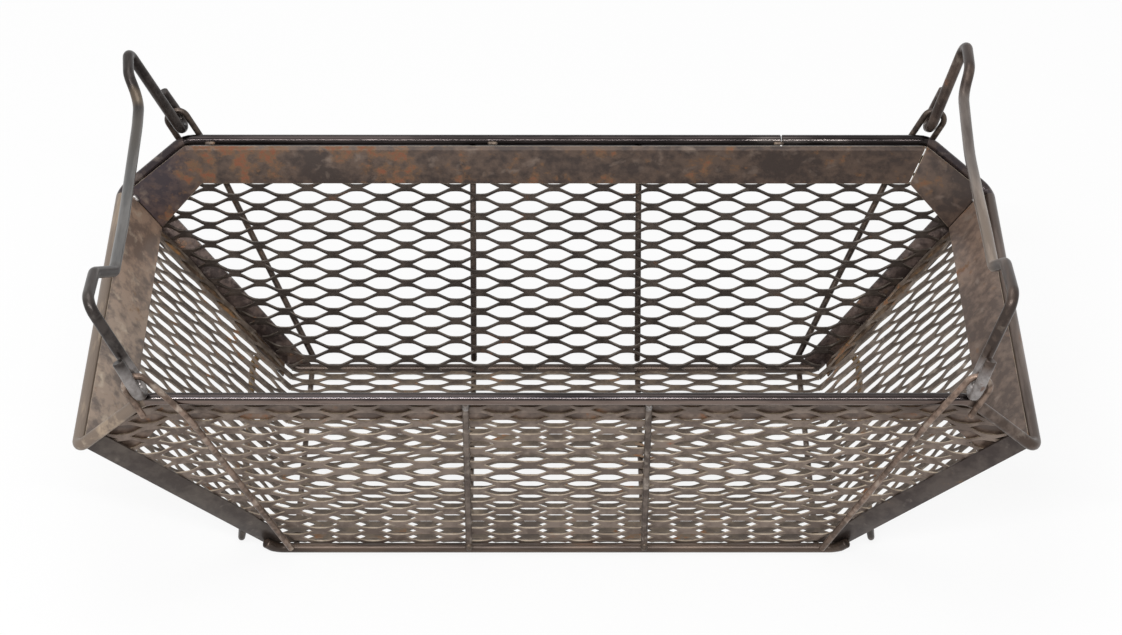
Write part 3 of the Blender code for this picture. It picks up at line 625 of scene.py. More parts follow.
def axes_of(points):
    """The frame that three points span, its first axis along the first two."""
    along = (points[1] - points[0]).normalized()
    out = along.cross(points[2] - points[0]).normalized()
    across = out.cross(along)
    turned = Matrix((along, across, out)).transposed().to_4x4()
    return Matrix.Translation(points[0]) @ turned


def facet(rows, corners, flat, solid):
    """A copy of the rows cut to an outline, then carried from three flat points to those on the basket."""
    only(rows)
    bpy.ops.object.duplicate()
    piece = bpy.context.object
    edit(piece)
    middle = sum((Vector((x, y, 0)) for x, y in corners), Vector()) / len(corners)
    for (x, y), (next_x, next_y) in zip(corners, corners[1:] + corners[:1]):
        away = Vector((next_y - y, x - next_x, 0)).normalized()
        away *= -1 if away.dot(middle - Vector((x, y, 0))) > 0 else 1
        pick_all()
        bpy.ops.mesh.bisect(plane_co=(x, y, 0), plane_no=away, clear_outer=True)
    leave()
    piece.matrix_world = axes_of(solid) @ axes_of(flat).inverted()
    settle(piece)
    return piece


def joined_sheet(name, pieces, rows, inner, outer, edge):
    """The facets made one sheet, given its thickness, with the sheared edges in their own finish."""
    only(*pieces)
    bpy.ops.object.join()
    sheet = bpy.context.object
    sheet.name = name
    bpy.data.objects.remove(rows, do_unlink=True)
    edit(sheet)
    pick_all()
    bpy.ops.mesh.remove_doubles(threshold=2e-5)
    leave()
    coat(sheet, (inner, outer, edge))
    thicken(sheet, SHEET_THICKNESS, 1, 2)
    return sheet


def slope_of(point):
    """A crease point's place on the flat side wall."""
    return Vector((point.x, (point.z - FOLD_HEIGHT) / math.cos(SIDE_FLARE), 0))


def wing_flat(point):
    """A folded wing point's place on the flat side wall."""
    solid = axes_of((BASE_CORNER, TOP_CORNER, END_CORNER))
    low, top = slope_of(BASE_CORNER), slope_of(TOP_CORNER)
    flat = axes_of((low, top, Vector((top.x, low.y, 0))))
    return flat @ solid.inverted() @ point


def below_wing_rod(drop):
    """The plane square to the wing, this far down it from the rim rod's middle."""
    down = WING_PLANE[0].cross((ROD_END_CORNER - ROD_TOP_CORNER).normalized())
    down *= -1 if down.z > 0 else 1
    return plane_through(down, ROD_TOP_CORNER + down * drop)


def wing_outline():
    under_rod = below_wing_rod(SHEET_BELOW_ROD)
    near_fold = moved_out(END_PLANE, -FOLD_EDGE_GAP)
    crease_top = top_corner_at(0, RIM_HEIGHT - SHEET_BELOW_ROD * math.cos(SIDE_FLARE))
    crease_low = top_corner_at(0, FOLD_HEIGHT + WALL_START / math.cos(SIDE_FLARE))
    fold_top = meet(WING_PLANE, near_fold, under_rod)
    fold_low = meet(WING_PLANE, near_fold, level(FOLD_HEIGHT + WALL_START / math.cos(END_FLARE)))
    return crease_low, fold_low, fold_top, crease_top


def side_wall(side_y, pitch, start, lean, inner, outer, edge):
    rows = lattice(pitch, start, WALL_HALF_SPAN, WALL_ACROSS, lean)
    solid_wing = wing_outline()
    flat_wing = [wing_flat(point) for point in solid_wing]
    low, top = flat_wing[0], flat_wing[3]
    middle = [(-low.x, low.y), (low.x, low.y), (top.x, top.y), (-top.x, top.y)]
    flat = [Vector((0, 0, 0)), Vector((1, 0, 0)), Vector((0, 1, 0))]
    solid = [mirrored(point, 1, side_y) for point in (on_side(0, 0, 0), on_side(1, 0, 0), on_side(0, 0, 1))]
    pieces = [facet(rows, middle, flat, solid)]
    for side_x in (1, -1):
        corners = [(point.x * side_x, point.y) for point in flat_wing]
        flat = [mirrored(flat_wing[i], side_x, 1) for i in (0, 3, 1)]
        solid = [mirrored(solid_wing[i], side_x, side_y) for i in (0, 3, 1)]
        pieces.append(facet(rows, corners, flat, solid))
    name = f"{SIDE_NAMES[side_y]}_wall_expanded_metal"
    finishes = (outer, inner, edge)
    sheet = joined_sheet(name, pieces, rows, *finishes)
    return finish_piece(sheet, finishes, "basket", "mesh_steel", f"{SIDE_NAMES[side_y]}_wall_mesh")


def floor_and_ends(start, lean, finishes):
    rows = lattice(SHEET_PITCH, start, FLOOR_HALF_SPAN, FLOOR_ACROSS, lean)
    edit(rows)
    for row in range(STRETCHED_ROWS):
        past = BASE_HALF_LENGTH + STRETCH_START + STRETCH_EVERY * row
        for side in (1, -1):
            pick(rows, lambda vert: vert.co.x * side > past)
            bpy.ops.transform.translate(value=(STRETCH[0] * side, STRETCH[1], 0))
    leave()
    half, base = BASE_HALF_WIDTH - FLOOR_EDGE_GAP, BASE_HALF_LENGTH
    top = END_RIM_RISE / math.cos(END_FLARE) - SHEET_BELOW_ROD
    wide = meet(WING_PLANE, END_PLANE, level(FOLD_HEIGHT + top * math.cos(END_FLARE))).y - CLEARANCE
    corners = [(-base, -half), (base, -half), (base, half), (-base, half)]
    flat = [Vector((0, 0, 0)), Vector((1, 0, 0)), Vector((0, 1, 0))]
    solid = [point + UP * FOLD_HEIGHT for point in flat]
    pieces = [facet(rows, corners, flat, solid)]
    for side in (1, -1):
        fold, tip = base * side, (base + top) * side
        corners = [(fold, -half), (tip, -wide), (tip, wide), (fold, half)]
        flat = [Vector((fold, 0, 0)), Vector((fold, 1, 0)), Vector((tip, 0, 0))]
        rise = Vector((top * math.sin(END_FLARE) * side, 0, top * math.cos(END_FLARE)))
        middle = Vector((fold, 0, FOLD_HEIGHT))
        pieces.append(facet(rows, corners, flat, [middle, middle + OUT_Y, middle + rise]))
    sheet = joined_sheet("floor_and_ends_expanded_metal", pieces, rows, *finishes[:3])
    coat(sheet, finishes[3:])
    paint(sheet, 3, lambda face: abs(face.center.x) > base + CLEARANCE and face.material_index < 2)
    paint(sheet, 4, lambda face: abs(face.center.x) > base + CLEARANCE and face.material_index == 2)
    return finish_piece(sheet, finishes, "basket", "mesh_steel", "floor_and_ends_mesh")


# The bars of the basket


def rim_ring(finishes):
    """The ring's two cut ends butt together at the rear, where they're welded."""
    thicker = OUT_X * (RING_DIAMETER - RIM_ROD_DIAMETER) / 2
    height, sink = RIM_HEIGHT - RING_SINK, UP * RING_SINK
    ring, bends = [Vector((RIM_JOINT_X - RIM_JOINT_GAP / 2, ROD_TOP_CORNER.y, height))], []
    for side_x, side_y in ((-1, 1), (-1, -1), (1, -1), (1, 1)):
        top, end = ROD_TOP_CORNER - sink, ROD_END_CORNER - sink - thicker
        pair = [mirrored(top, side_x, side_y), mirrored(end, side_x, side_y)]
        order = 1 if side_x == -side_y else -1
        ring += pair[::order]
        bends += [TOP_BEND_RADIUS, END_BEND_RADIUS][::order]
    ring.append(Vector((RIM_JOINT_X + RIM_JOINT_GAP / 2, ROD_TOP_CORNER.y, height)))
    made = bar("rim_ring", ring, bends, RING_DIAMETER, RING_SIDES)
    finish_piece(made, finishes, "basket", "rim_steel", "rim_rod")
    paint(made, 1, lambda face: face.center.x < -TOP_CORNER_X and face.center.y < TAN_END_Y)
    paint(made, 2, lambda face: face.center.x > TOP_CORNER_X and face.center.y < BROWN_END_Y)
    paint(made, 3, lambda face: abs(face.center.x) > TOP_CORNER_X and face.material_index == 0)
    return made


def rail_middle():
    out = BASE_HALF_WIDTH + (RAIL_OFFSET - RAIL_BELOW_FOLD * math.sin(SIDE_FLARE)) / math.cos(SIDE_FLARE)
    return Vector((0, out, FOLD_HEIGHT - RAIL_BELOW_FOLD))


def base_rail(side_y, finish):
    wing, end = (moved_out(plane, ANGLE_OUTER) for plane in (WING_PLANE, END_PLANE))
    beside = (WING_PLANE[0] + END_PLANE[0]).normalized() * (CLEARANCE + RAIL_DIAMETER / 2)
    fold_along = (END_CORNER - BASE_CORNER).normalized()
    knee = meet(wing, end, level(FOLD_HEIGHT + RAIL_KNEE_RISE)) + beside * RAIL_KNEE_OUT_SHARE
    knee += OUT_Y * RAIL_KNEE_OUTWARD - OUT_X * RAIL_KNEE_INWARD
    half = [rail_middle() + OUT_X * RAIL_STRAIGHT_END_X, knee, knee + fold_along * RAIL_TIP_RUN]
    right = [mirrored(point, 1, side_y) for point in half]
    points = [mirrored(point, -1, 1) for point in reversed(right)] + right
    made = bar(f"{SIDE_NAMES[side_y]}_rail", points, [RAIL_BEND_RADIUS] * 4, RAIL_DIAMETER)
    return finish_piece(made, [finish], "basket", "angle_steel", f"base_rail_{SIDE_NAMES[side_y]}")


def rod_end():
    """How far out a wall rod's low end lies, on the rail's outer side."""
    rail_up = -RAIL_BELOW_FOLD / math.cos(SIDE_FLARE) + RAIL_OFFSET * math.tan(SIDE_FLARE)
    apart = RAIL_DIAMETER / 2 + CLEARANCE + BAR_RADIUS
    return RAIL_OFFSET + math.sqrt(apart**2 - (ROD_END_UP_SLOPE - rail_up) ** 2)


def wall_rod(side_x, side_y, finish):
    top = RIM_RISE / math.cos(SIDE_FLARE) - (ROD_OFFSET - WALL_ROD_OFFSET) * math.tan(SIDE_FLARE)
    top -= RIM_ROD_DIAMETER / 2 + CLEARANCE
    line = [
        on_side(MIDDLE_ROD_X, rod_end(), ROD_END_UP_SLOPE),
        on_side(MIDDLE_ROD_X, WALL_ROD_OFFSET, ROD_KICK_UP_SLOPE),
        on_side(MIDDLE_ROD_X, WALL_ROD_OFFSET, top),
    ]
    line[0] += (line[1] - line[0]).normalized() * ROD_END_CUT
    name = f"wall_rod_{corner_name(side_x, side_y)}"
    points = [mirrored(point, side_x, side_y) for point in line]
    made = bar(f"{name}_bar", points, [ROD_BEND_RADIUS], BAR_DIAMETER)
    return finish_piece(made, [finish], "basket", "rod_steel", name)


def eye_rod(side_x, side_y, finish):
    eye_up = Vector((math.sin(EYE_LEAN), 0, math.cos(EYE_LEAN)))
    eye_out = Vector((math.cos(EYE_LEAN), 0, -math.sin(EYE_LEAN)))
    y = ROD_TOP_CORNER.y + EYE_OFFSET
    centre = Vector((EYE_X, y, RIM_HEIGHT + EYE_ABOVE_RIM))
    near, far = centre - eye_out * EYE_RADIUS, centre + eye_out * EYE_RADIUS
    line = [
        on_side(EYE_ROD_LOW_X[side_y], rod_end(), ROD_END_UP_SLOPE),
        Vector((EYE_ROD_RIM_X[side_x, side_y], y, RIM_HEIGHT - EYE_JOG_BELOW_RIM)),
        near + eye_up * EYE_RADIUS,
        far + eye_up * EYE_RADIUS,
        far - eye_up * (far.z - RIM_HEIGHT + EYE_RETURN_BELOW_RIM) / eye_up.z,
    ]
    line[0] += (line[1] - line[0]).normalized() * ROD_END_CUT
    name = f"eye_rod_{corner_name(side_x, side_y)}"
    points = [mirrored(point, side_x, side_y) for point in line]
    made = bar(f"{name}_bar", points, [EYE_BEND_RADIUS, EYE_RADIUS, EYE_RADIUS], BAR_DIAMETER)
    return finish_piece(made, [finish], "basket", "rod_steel", name)


def foot_loop(side_x, finish):
    beside = ANGLE_OUTER + CLEARANCE + FOOT_ROD_DIAMETER / 4
    points = []
    welded = meet(moved_out(END_PLANE, beside), (OUT_Y, FOOT_WELD_Y), level(FOLD_HEIGHT + FOOT_WELD_RISE))
    for side_y, x, y, rise in FOOT_CORNERS:
        corner = Vector((x, y, FOLD_HEIGHT + rise))
        pair = [mirrored(welded, side_x, side_y), mirrored(corner, side_x, side_y)]
        points += pair[::side_y]
    made = bar(f"{END_NAMES[side_x]}_foot_bar", points, [FOOT_BEND_RADIUS] * 2, FOOT_ROD_DIAMETER)
    return finish_piece(made, [finish], "basket", "rod_steel", f"foot_loop_{END_NAMES[side_x]}")


def floor_bar(side_x, x, key, finish):
    name = f"floor_bar_{END_NAMES[side_x]}_{key}"
    low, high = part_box(name)
    middle = (low[2] + high[2]) / 2
    ends = [Vector((x * side_x, y, middle)) for y in (low[1], high[1])]
    made = bar(f"{name}_bar", ends, [], high[2] - low[2])
    return finish_piece(made, [finish], "basket", "rod_steel", name)


def bail(side_x, lean, grip, finish):
    """The handle, hooked under both eyes."""
    middle = ROD_TOP_CORNER.y + EYE_OFFSET
    outer, inner = middle + HOOK_RADIUS, middle - HOOK_RADIUS
    places = ((outer + HOOK_TAIL[0], HOOK_TAIL[1]), (outer - HOOK_OUTER_INWARD, 0), (inner, 0))
    hook = [Vector((0, *place)) for place in places]
    line = hook + [Vector((0, along * MM, up * MM)) for along, up, _ in grip]
    line += [mirrored(point, 1, -1) for point in reversed(hook)]
    bends = [HOOK_RADIUS] * 2 + [bend * MM for _, _, bend in grip] + [HOOK_RADIUS] * 2
    axis = Vector((BAIL_AXIS_X * side_x, 0, RIM_HEIGHT + BAIL_AXIS_ABOVE_RIM))
    placed = Matrix.Translation(axis) @ Matrix.Rotation(lean * side_x, 4, "Y")
    name = f"{END_NAMES[side_x]}_bail"
    made = bar(f"{name}_bar", [placed @ point for point in line], bends, BAIL_DIAMETER, BAIL_SIDES)
    return finish_piece(made, [finish], name, "bail_steel", name)


# Flat strips and plates


def draw_out(piece, before, station):
    """Draws the end face on and sends each of its corners to the next outline."""
    bpy.ops.mesh.extrude_region_move()
    shell = bmesh.from_edit_mesh(piece.data)
    shell.verts.index_update()
    places = {vert.index: vert.co.copy() for vert in shell.verts if vert.select}
    new = list(places)
    for old, target in zip(before, station):
        nearest = min(places, key=lambda i: (places[i] - old).length)
        places.pop(nearest)
        send(piece, nearest, target)
    pick(piece, lambda vert: vert.index in new)


def ease_edges(piece, wear_and_painted_light):
    """Eases the cut edges and gives them the finish in that slot: on the bands, pale rubbed steel and
    painted highlight.
    """
    edit(piece)
    bpy.ops.mesh.select_all(action="DESELECT")
    bpy.ops.mesh.select_mode(type="EDGE")
    bpy.ops.mesh.edges_select_sharp(sharpness=CUT_EDGE_TURN)
    bpy.ops.mesh.bevel(offset=EASED_EDGE, segments=2, affect="EDGES", material=wear_and_painted_light)
    leave()


def band_outline(corner_at, rim_height, flare, lip, side_x, side_y, shift):
    """The band's cut outline on a crease: a flat strip whose top leans out into a lip under the rim."""
    low = rim_height - BAND_BELOW_RIM * math.cos(flare)
    bend = rim_height + lip
    places = (
        (BAND_OUTER, low),
        (BAND_OUTER, bend),
        (LIP_OUTER[0], bend + LIP_OUTER[1]),
        (LIP_TOP[0], bend + LIP_TOP[1]),
        (BAND_INNER, bend + LIP_INNER_RISE),
        (BAND_INNER, low),
    )
    return [mirrored(corner_at(offset, height) + shift, side_x, side_y) for offset, height in places]


def band(name, stations, finishes):
    made = cut_out(f"{name}_strip", stations[0])
    pick_all()
    for before, station in zip(stations, stations[1:]):
        draw_out(made, before, station)
    close_up()
    coat(made, finishes)
    # Narrow upward faces, the lip's top among them, take the pale edge finish: a painted highlight along
    # the band's top
    paint(made, 1, lambda face: width_of(made, face) < PALE_EDGE_AND_HIGHLIGHT_WIDTH and face.normal.z > 0.2)
    ease_edges(made, 1)
    return finish_piece(made, finishes, "basket", "band_steel", name, angle=25)


def rim_bands(rusty, scoured, brown, wear_and_painted_light):
    def top(side_x, side_y, shift):
        return band_outline(top_corner_at, RIM_HEIGHT, SIDE_FLARE, SIDE_LIP, side_x, side_y, shift)

    def end(side_x, side_y, shift):
        return band_outline(end_corner_at, END_RIM_HEIGHT, END_FLARE, END_LIP, side_x, side_y, shift)

    still, seam_x, seam_y = Vector(), OUT_X * BAND_HALF_SEAM, OUT_Y * BAND_HALF_SEAM
    along = (ROD_END_CORNER - ROD_TOP_CORNER).normalized() * BAND_HALF_SEAM
    band("rim_band_rear", [end(-1, 1, -along), top(-1, 1, still), top(1, 1, -seam_x)], [rusty, wear_and_painted_light])
    band("rim_band_rear_right", [top(1, 1, along), end(1, 1, -along)], [rusty, wear_and_painted_light])
    front = [end(-1, -1, -along), top(-1, -1, still), top(1, -1, still), end(1, -1, -along)]
    band("rim_band_front", front, [brown, wear_and_painted_light])
    band("rim_band_left_end", [end(-1, -1, -seam_y), end(-1, 1, -seam_y)], [scoured, wear_and_painted_light])
    band("rim_band_right_end", [end(1, -1, -seam_y), end(1, 1, -seam_y)], [brown, wear_and_painted_light])


def angle_outline(offset):
    """The corner angle's rim, from the fold's low end round by the end, the top, the wing and the side."""
    side, wing, end = (moved_out(plane, offset) for plane in (SIDE_PLANE, WING_PLANE, END_PLANE))
    low = level(FOLD_HEIGHT + ANGLE_START)
    fold_low = meet(wing, end, low)
    fold_along = (END_CORNER - BASE_CORNER).normalized()

    def leg_edge(plane, axis):
        inward = fold_along.cross(plane[0])
        inward *= -1 if inward[axis] > 0 else 1
        return plane_through(inward, fold_low + inward * ANGLE_LEG)

    end_edge, wing_edge = leg_edge(END_PLANE, Y), leg_edge(WING_PLANE, X)
    end_top = level(END_RIM_HEIGHT - ANGLE_BELOW_ROD * math.cos(END_FLARE))
    wing_top = below_wing_rod(ANGLE_BELOW_ROD)
    return [
        fold_low,
        meet(end, end_edge, low),
        meet(end, end_edge, end_top),
        meet(wing, end, wing_top),
        meet(wing, wing_edge, wing_top),
        meet(side, wing, wing_edge),
        meet(side, low, (OUT_X, ANGLE_FOOT_X)),
        meet(side, wing, low),
    ]


def corner_plate(side_x, side_y, finishes):
    middle = (ANGLE_OUTER + SHEET_HALF + CLEARANCE) / 2
    outline = [mirrored(point, side_x, side_y) for point in angle_outline(middle)]
    node = f"corner_angle_{corner_name(side_x, side_y)}"
    made = cut_out(f"{node}_plate", outline)
    for pair in ((0, 3), (5, 7)):
        pick(made, lambda vert: vert.index in pair)
        bpy.ops.mesh.vert_connect_path()
    close_up()
    coat(made, finishes)
    thicken(made, ANGLE_THICKNESS, 2, 1)
    toward_end = mirrored(END_PLANE[0], side_x, side_y)
    paint(made, 3, lambda face: face.material_index == 2 and abs(face.normal.dot(toward_end)) > 0.97)
    ease_edges(made, 1)
    return finish_piece(made, finishes, "basket", "angle_steel", node, angle=30)


# Welds


def weld_bead():
    """One bead as a welder leaves it: a row of overlapping ripples with blunt ends."""
    x, radius = BEAD_START_X, BEAD_START_RADIUS
    bead = disc("bead", 12, radius, (x, 0, 0), (0, math.pi / 2, 0))
    pick_all()
    for run, wide in BEAD_RIPPLES:
        pull((run * MM / 10, 0, 0))
        x += run * MM / 10
        grow = wide * MM / 10 / radius
        bpy.ops.transform.resize(value=(1, grow, grow), center_override=(x, 0, 0))
        radius = wide * MM / 10
    pick_all()
    bpy.ops.transform.vertex_random(offset=BEAD_UNEVENNESS, seed=4)
    close_up()
    return bead


def weld(bead, name, place, along, size, finish, node=None):
    """A copy of the bead laid along a joint, stretched to its size."""
    only(bead)
    bpy.ops.object.duplicate()
    made = bpy.context.object
    made.name = name
    turned = along.normalized().to_track_quat("X", "Z").to_matrix().to_4x4()
    made.matrix_world = Matrix.Translation(place) @ turned @ Matrix.Diagonal((*size, 1))
    settle(made)
    nodes = [node] if node else []
    return finish_piece(made, [finish], "basket", "weld_bead", *nodes, angle=60)


def welds(finish, dull):
    bead = weld_bead()
    for side_y in (-1, 1):
        for number, share in enumerate(RIM_TACK_SHARES, 1):
            under_rim = level(RIM_HEIGHT - RIM_TACK_BELOW_RIM)
            place = meet(moved_out(SIDE_PLANE, RIM_TACK_OUT), under_rim, (OUT_X, TOP_CORNER_X * share))
            node = f"rim_tack_{SIDE_NAMES[side_y]}_{number}"
            weld(bead, f"{node}_bead", mirrored(place, 1, side_y), OUT_X, (1.1, 0.9, 0.8), dull, node)
    seam = end_corner_at(CORNER_TACK_OUT, END_RIM_HEIGHT - CORNER_TACK_BELOW_RIM)
    down = (BASE_CORNER - END_CORNER).normalized()
    up_slope = on_side(0, 0, 1) - on_side(0, 0, 0)
    rod_top = RIM_RISE / math.cos(SIDE_FLARE) - WALL_ROD_WELD_BELOW_RIM
    # Each wall rod's top and foot: place out from the wall and up it, the bead's size, and its steel
    rod_welds = (
        ("wall_rod_top", WALL_ROD_OFFSET + 0.0002, rod_top, (1.1, 1.45, 1.35), finish),
        ("wall_rod_foot", rod_end() - 0.0006, WALL_ROD_WELD_UP_SLOPE, (1.0, 1.3, 1.25), dull),
    )
    for side_x, side_y in CORNERS:
        key = corner_name(side_x, side_y)
        node = f"corner_tack_{key}"
        place, along = mirrored(seam, side_x, side_y), mirrored(down, side_x, side_y)
        weld(bead, f"{node}_bead", place, along, (0.9, 1.1, 1.0), finish, node)
        for name, out, rise, size, steel in rod_welds:
            place = mirrored(on_side(MIDDLE_ROD_X, out, rise), side_x, side_y)
            weld(bead, f"{name}_weld_{key}", place, mirrored(up_slope, 1, side_y), size, steel)
    bpy.data.objects.remove(bead, do_unlink=True)


# The photographer's floor, light and camera


def seen_white(tree):
    """How far a ray only looks at the backdrop: straight, mirrored or through something clear."""
    path = add(tree, "LightPath")
    rays = add(tree, "Math", {0: path["Is Camera Ray"], 1: path["Is Glossy Ray"]})[0]
    return add(tree, "Math", {0: rays, 1: path["Is Transmission Ray"]}, use_clamp=True)[0]


def floor_and_light():
    bpy.ops.object.select_all(action="DESELECT")
    bpy.ops.mesh.primitive_plane_add(size=FLOOR_SIZE, location=(0, 0, 0))
    floor = bpy.context.object
    floor.name = "studio_floor"
    settle(floor)
    # White backdrop paper, dull and so evenly lit that the basket's shadow on it is faint
    paper = bpy.data.materials.new("white_backdrop_paper")
    paper.use_nodes = True
    tree = paper.node_tree
    shader = tree.nodes["Principled BSDF"]
    shader.inputs["Base Color"].default_value = (PAPER_GREY, PAPER_GREY, PAPER_GREY, 1)
    shader.inputs["Roughness"].default_value = 0.9
    glow = add(tree, "Emission", values={"Color": WHITE, "Strength": 1.0})[0]
    seen = {0: seen_white(tree)}
    share = add(tree, "Math", seen, {1: SEEN_WHITE_SHARE}, operation="MULTIPLY")[0]
    mix = add(tree, "MixShader", {0: share, 1: shader.outputs[0], 2: glow})[0]
    tree.links.new(mix, tree.nodes["Material Output"].inputs["Surface"])
    floor.data.materials.append(paper)
    world = bpy.data.worlds.new("studio")
    bpy.context.scene.world = world
    world.use_nodes = True
    tree = world.node_tree
    sky = tree.nodes["Background"]
    sky.inputs["Color"].default_value = WHITE
    sky.inputs["Strength"].default_value = SKY_STRENGTH
    seen = add(tree, "Background", values={"Color": WHITE, "Strength": 1.0})[0]
    mix = add(tree, "MixShader", {0: seen_white(tree), 1: sky.outputs[0], 2: seen})[0]
    tree.links.new(mix, tree.nodes["World Output"].inputs["Surface"])
    # A broad box overhead, and a long strip over the camera that draws a line of light along each bar
    for name, place, (wide, high), power in LIGHT_BOXES:
        bpy.ops.object.light_add(type="AREA", location=place)
        lamp = bpy.context.object
        lamp.name = name
        lamp.data.shape = "RECTANGLE"
        lamp.data.size, lamp.data.size_y = wide, high
        lamp.data.energy = power
        lamp.rotation_euler = (Vector(LIGHT_TARGET) - Vector(place)).to_track_quat("-Z", "Y").to_euler()


def camera():
    """Turned down by its pitch, to the side by its yaw and over by its roll."""
    pitch, yaw, roll = (math.radians(turn) for turn in CAMERA_TURNS)
    forward = Vector((math.sin(yaw) * math.cos(pitch), math.cos(yaw) * math.cos(pitch), -math.sin(pitch)))
    right = Vector((math.cos(yaw), -math.sin(yaw), 0))
    up = right.cross(forward)
    rolled = right * math.cos(roll) + up * math.sin(roll)
    upright = up * math.cos(roll) - right * math.sin(roll)
    bpy.ops.object.camera_add()
    eye = bpy.context.object
    eye.name = "photograph_camera"
    turned = Matrix((rolled, upright, -forward)).transposed().to_4x4()
    eye.matrix_world = Matrix.Translation(CAMERA_PLACE) @ turned
    eye.data.sensor_width = SENSOR_WIDTH
    eye.data.lens = FOCAL_PIXELS / PHOTO_PIXELS * SENSOR_WIDTH
    bpy.context.scene.camera = eye


# The finishes. A worn length, and a painted highlight too, has two tones and its limits: an axis, where it
# starts and where it is full

# Drawn bar, smooth from the die and gone dark with oil: almost black, with a painted highlight line on top
ROD_Y = -ROD_TOP_CORNER.y
# The front rod's lower front side in a lighter brown
under_side = ((Y, ROD_Y, ROD_Y - 0.001), (Z, RIM_HEIGHT + 0.0013, RIM_HEIGHT + 0.0005))
# Painted highlight: a thin pale line along the front rod's upper front, fading out toward the right
painted_highlight_line = (
    (Y, ROD_Y - 0.0022, ROD_Y - 0.0026), (Z, RIM_HEIGHT + 0.0021, RIM_HEIGHT + 0.0025), (X, 0.095, 0.050),
)
rim_lower_tone_and_painted_highlight = (("#574b46", "#776962", under_side), ("#5f5b60", "#7a767a", painted_highlight_line))
rim_shine = (0.9, 0.17, 0.60, 1.34)
rod_finish = aged_steel(
    "bright_drawn_bar_gone_dark", "#221e1e #383231 #5e5855 #40332c #5e4234", rim_shine, ALONG_X,
    wear_and_painted_light=rim_lower_tone_and_painted_highlight,
)
# Drawn bar soiled by dust in oil: pale tan and soft in its shine, streaked along its length
tan_rod = aged_steel(
    "tan_soiled_drawn_bar", "#77695d #a5937f #c2b29e #8a7058 #8a664a", (0.45, 0.42, 0.62, 1.30), ALONG_Y
)
# Drawn bar browned by damp: a middle brown with a low shine
brown_rod = aged_steel(
    "brown_drawn_bar", "#483c35 #655850 #857a70 #6a4f3c #7a5238", (0.6, 0.34, 0.60, 1.28), ALONG_Y
)
# Drawn bar blackened where it was bent hot: dark brown and glossy
wing_rod = aged_steel(
    "glossy_dark_brown_bar", "#30282a #4c403b #7c7068 #59443a #6b4a39", (0.55, 0.24, 0.58, 1.30)
)

# Handle bar, blackened by heat and scrubbed to grey along the grip: dark arms round a paler, duller middle
front_hook = ("#67615e", "#8d8886", ((Y, -0.128, -0.138), (Z, 0.178, 0.170)))
left_worn = (
    ("#4d4843", "#66605a", ((Y, 0.105, 0.085), (Y, -0.082, -0.070))),
    ("#545352", "#6e6c6a", ((Y, 0.060, 0.020), (Y, -0.086, -0.078))),
    ("#5c5146", "#73685a", ((Y, 0.1155, 0.1125), (Y, 0.1005, 0.1065))),
    front_hook,
)
left_shine = (0.7, 0.32, 0.62, 1.32)
left_bail_finish = aged_steel(
    "blackened_bar_with_scrubbed_grip", "#2a2523 #403a37 #5c5753 #4a3d34 #5f493a", left_shine, ALONG_Y,
    wear_and_painted_light=left_worn,
)
# Handle bar, browned and scrubbed to tan along the grip: warmer and paler than the other handle
right_worn = (
    ("#524944", "#6d645e", ((Y, 0.118, 0.108), (Y, -0.112, -0.096))),
    ("#75675b", "#9c8d80", ((Y, 0.030, -0.030), (Y, -0.098, -0.090))),
    front_hook,
)
right_shine = (0.6, 0.34, 0.60, 1.27)
right_bail_finish = aged_steel(
    "browned_bar_with_scrubbed_grip", "#382e29 #53463e #75695f #5a4335 #704b35", right_shine, ALONG_Y,
    wear_and_painted_light=right_worn,
)

# Rolled bar that has stood in damp: brown, with rust in orange spots
bar_finish = aged_steel(
    "brown_rusted_bar", "#463a33 #6a5e55 #958a80 #6a4f3c #83573b", (0.55, 0.40, 0.56, 1.28)
)
# Rolled bar that the hooks have scuffed: paler brown, rubbed bright in short places
eye_finish = aged_steel(
    "scuffed_eye_bar", "#54453b #836f62 #a89a8d #6a4f3c #83573b", (0.55, 0.36, 0.56, 1.28), patch_mm=18
)
# Rolled bar at the rear, painted darker than the front bars as shade: dark brown with hardly a rubbed place
rear_bar_painted_shade = aged_steel(
    "rear_bar_darkened_as_shade", "#332a25 #51453c #6e6259 #5a4433 #6f4b35", (0.55, 0.38, 0.60, 1.28)
)
# Bar that the basket stands on: dull, and ochre with rust along its middle
ochre_middle = (("#6a5233", "#94764a", ((Y, -0.075, -0.060),)),)
foot_finish = aged_steel(
    "ochre_rusted_bar", "#342d28 #544b44 #7b7066 #5f4a34 #74502f", (0.4, 0.45, 0.60, 1.24),
    wear_and_painted_light=ochre_middle,
)
# Drawn bar soiled from standing on floors: dark brown with rust drawn out along it
rail_finish = aged_steel(
    "soiled_rail_bar", "#3a302a #57493f #74675c #5d432f #82502d", (0.55, 0.38, 0.62, 1.24), ALONG_X
)

# Cold-rolled strip, rusted under oil: reddish brown in clouds, with most orange at the left
dark_wing = (("#30262a", "#4d3d38", ((X, -0.232, -0.246),)),)
band_finish = aged_steel(
    "rusted_flat_strip", "#372c27 #534339 #6b5c52 #654a33 #74432b", (0.35, 0.40, 0.60, 1.20), (0.8, 1, 1),
    22, 0.14, dark_wing, ((X, 0.06, -0.08),),
)
# Cold-rolled strip scoured by what was laid in it: a smooth pale tan, browner to the rear
scoured_rear = (("#6c5b50", "#967e6c", ((Y, -0.01, 0.10),)),)
left_band_finish = aged_steel(
    "scoured_tan_strip", "#5f534b #928071 #ac9c8a #7d634b #8a6448", (0.35, 0.38, 0.58, 1.26), (1, 0.7, 1),
    38, 0.10, scoured_rear,
)
# Cold-rolled strip, browned: between the other two, with small rust clouds and a low shine
browner_rear = (("#61524a", "#8b7668", ((Y, -0.02, 0.08),)),)
right_band_finish = aged_steel(
    "browned_flat_strip", "#4b3d35 #6d5c51 #84756a #735640 #84553a", (0.4, 0.36, 0.60, 1.21), (1, 0.8, 1),
    28, 0.14, browner_rear,
)
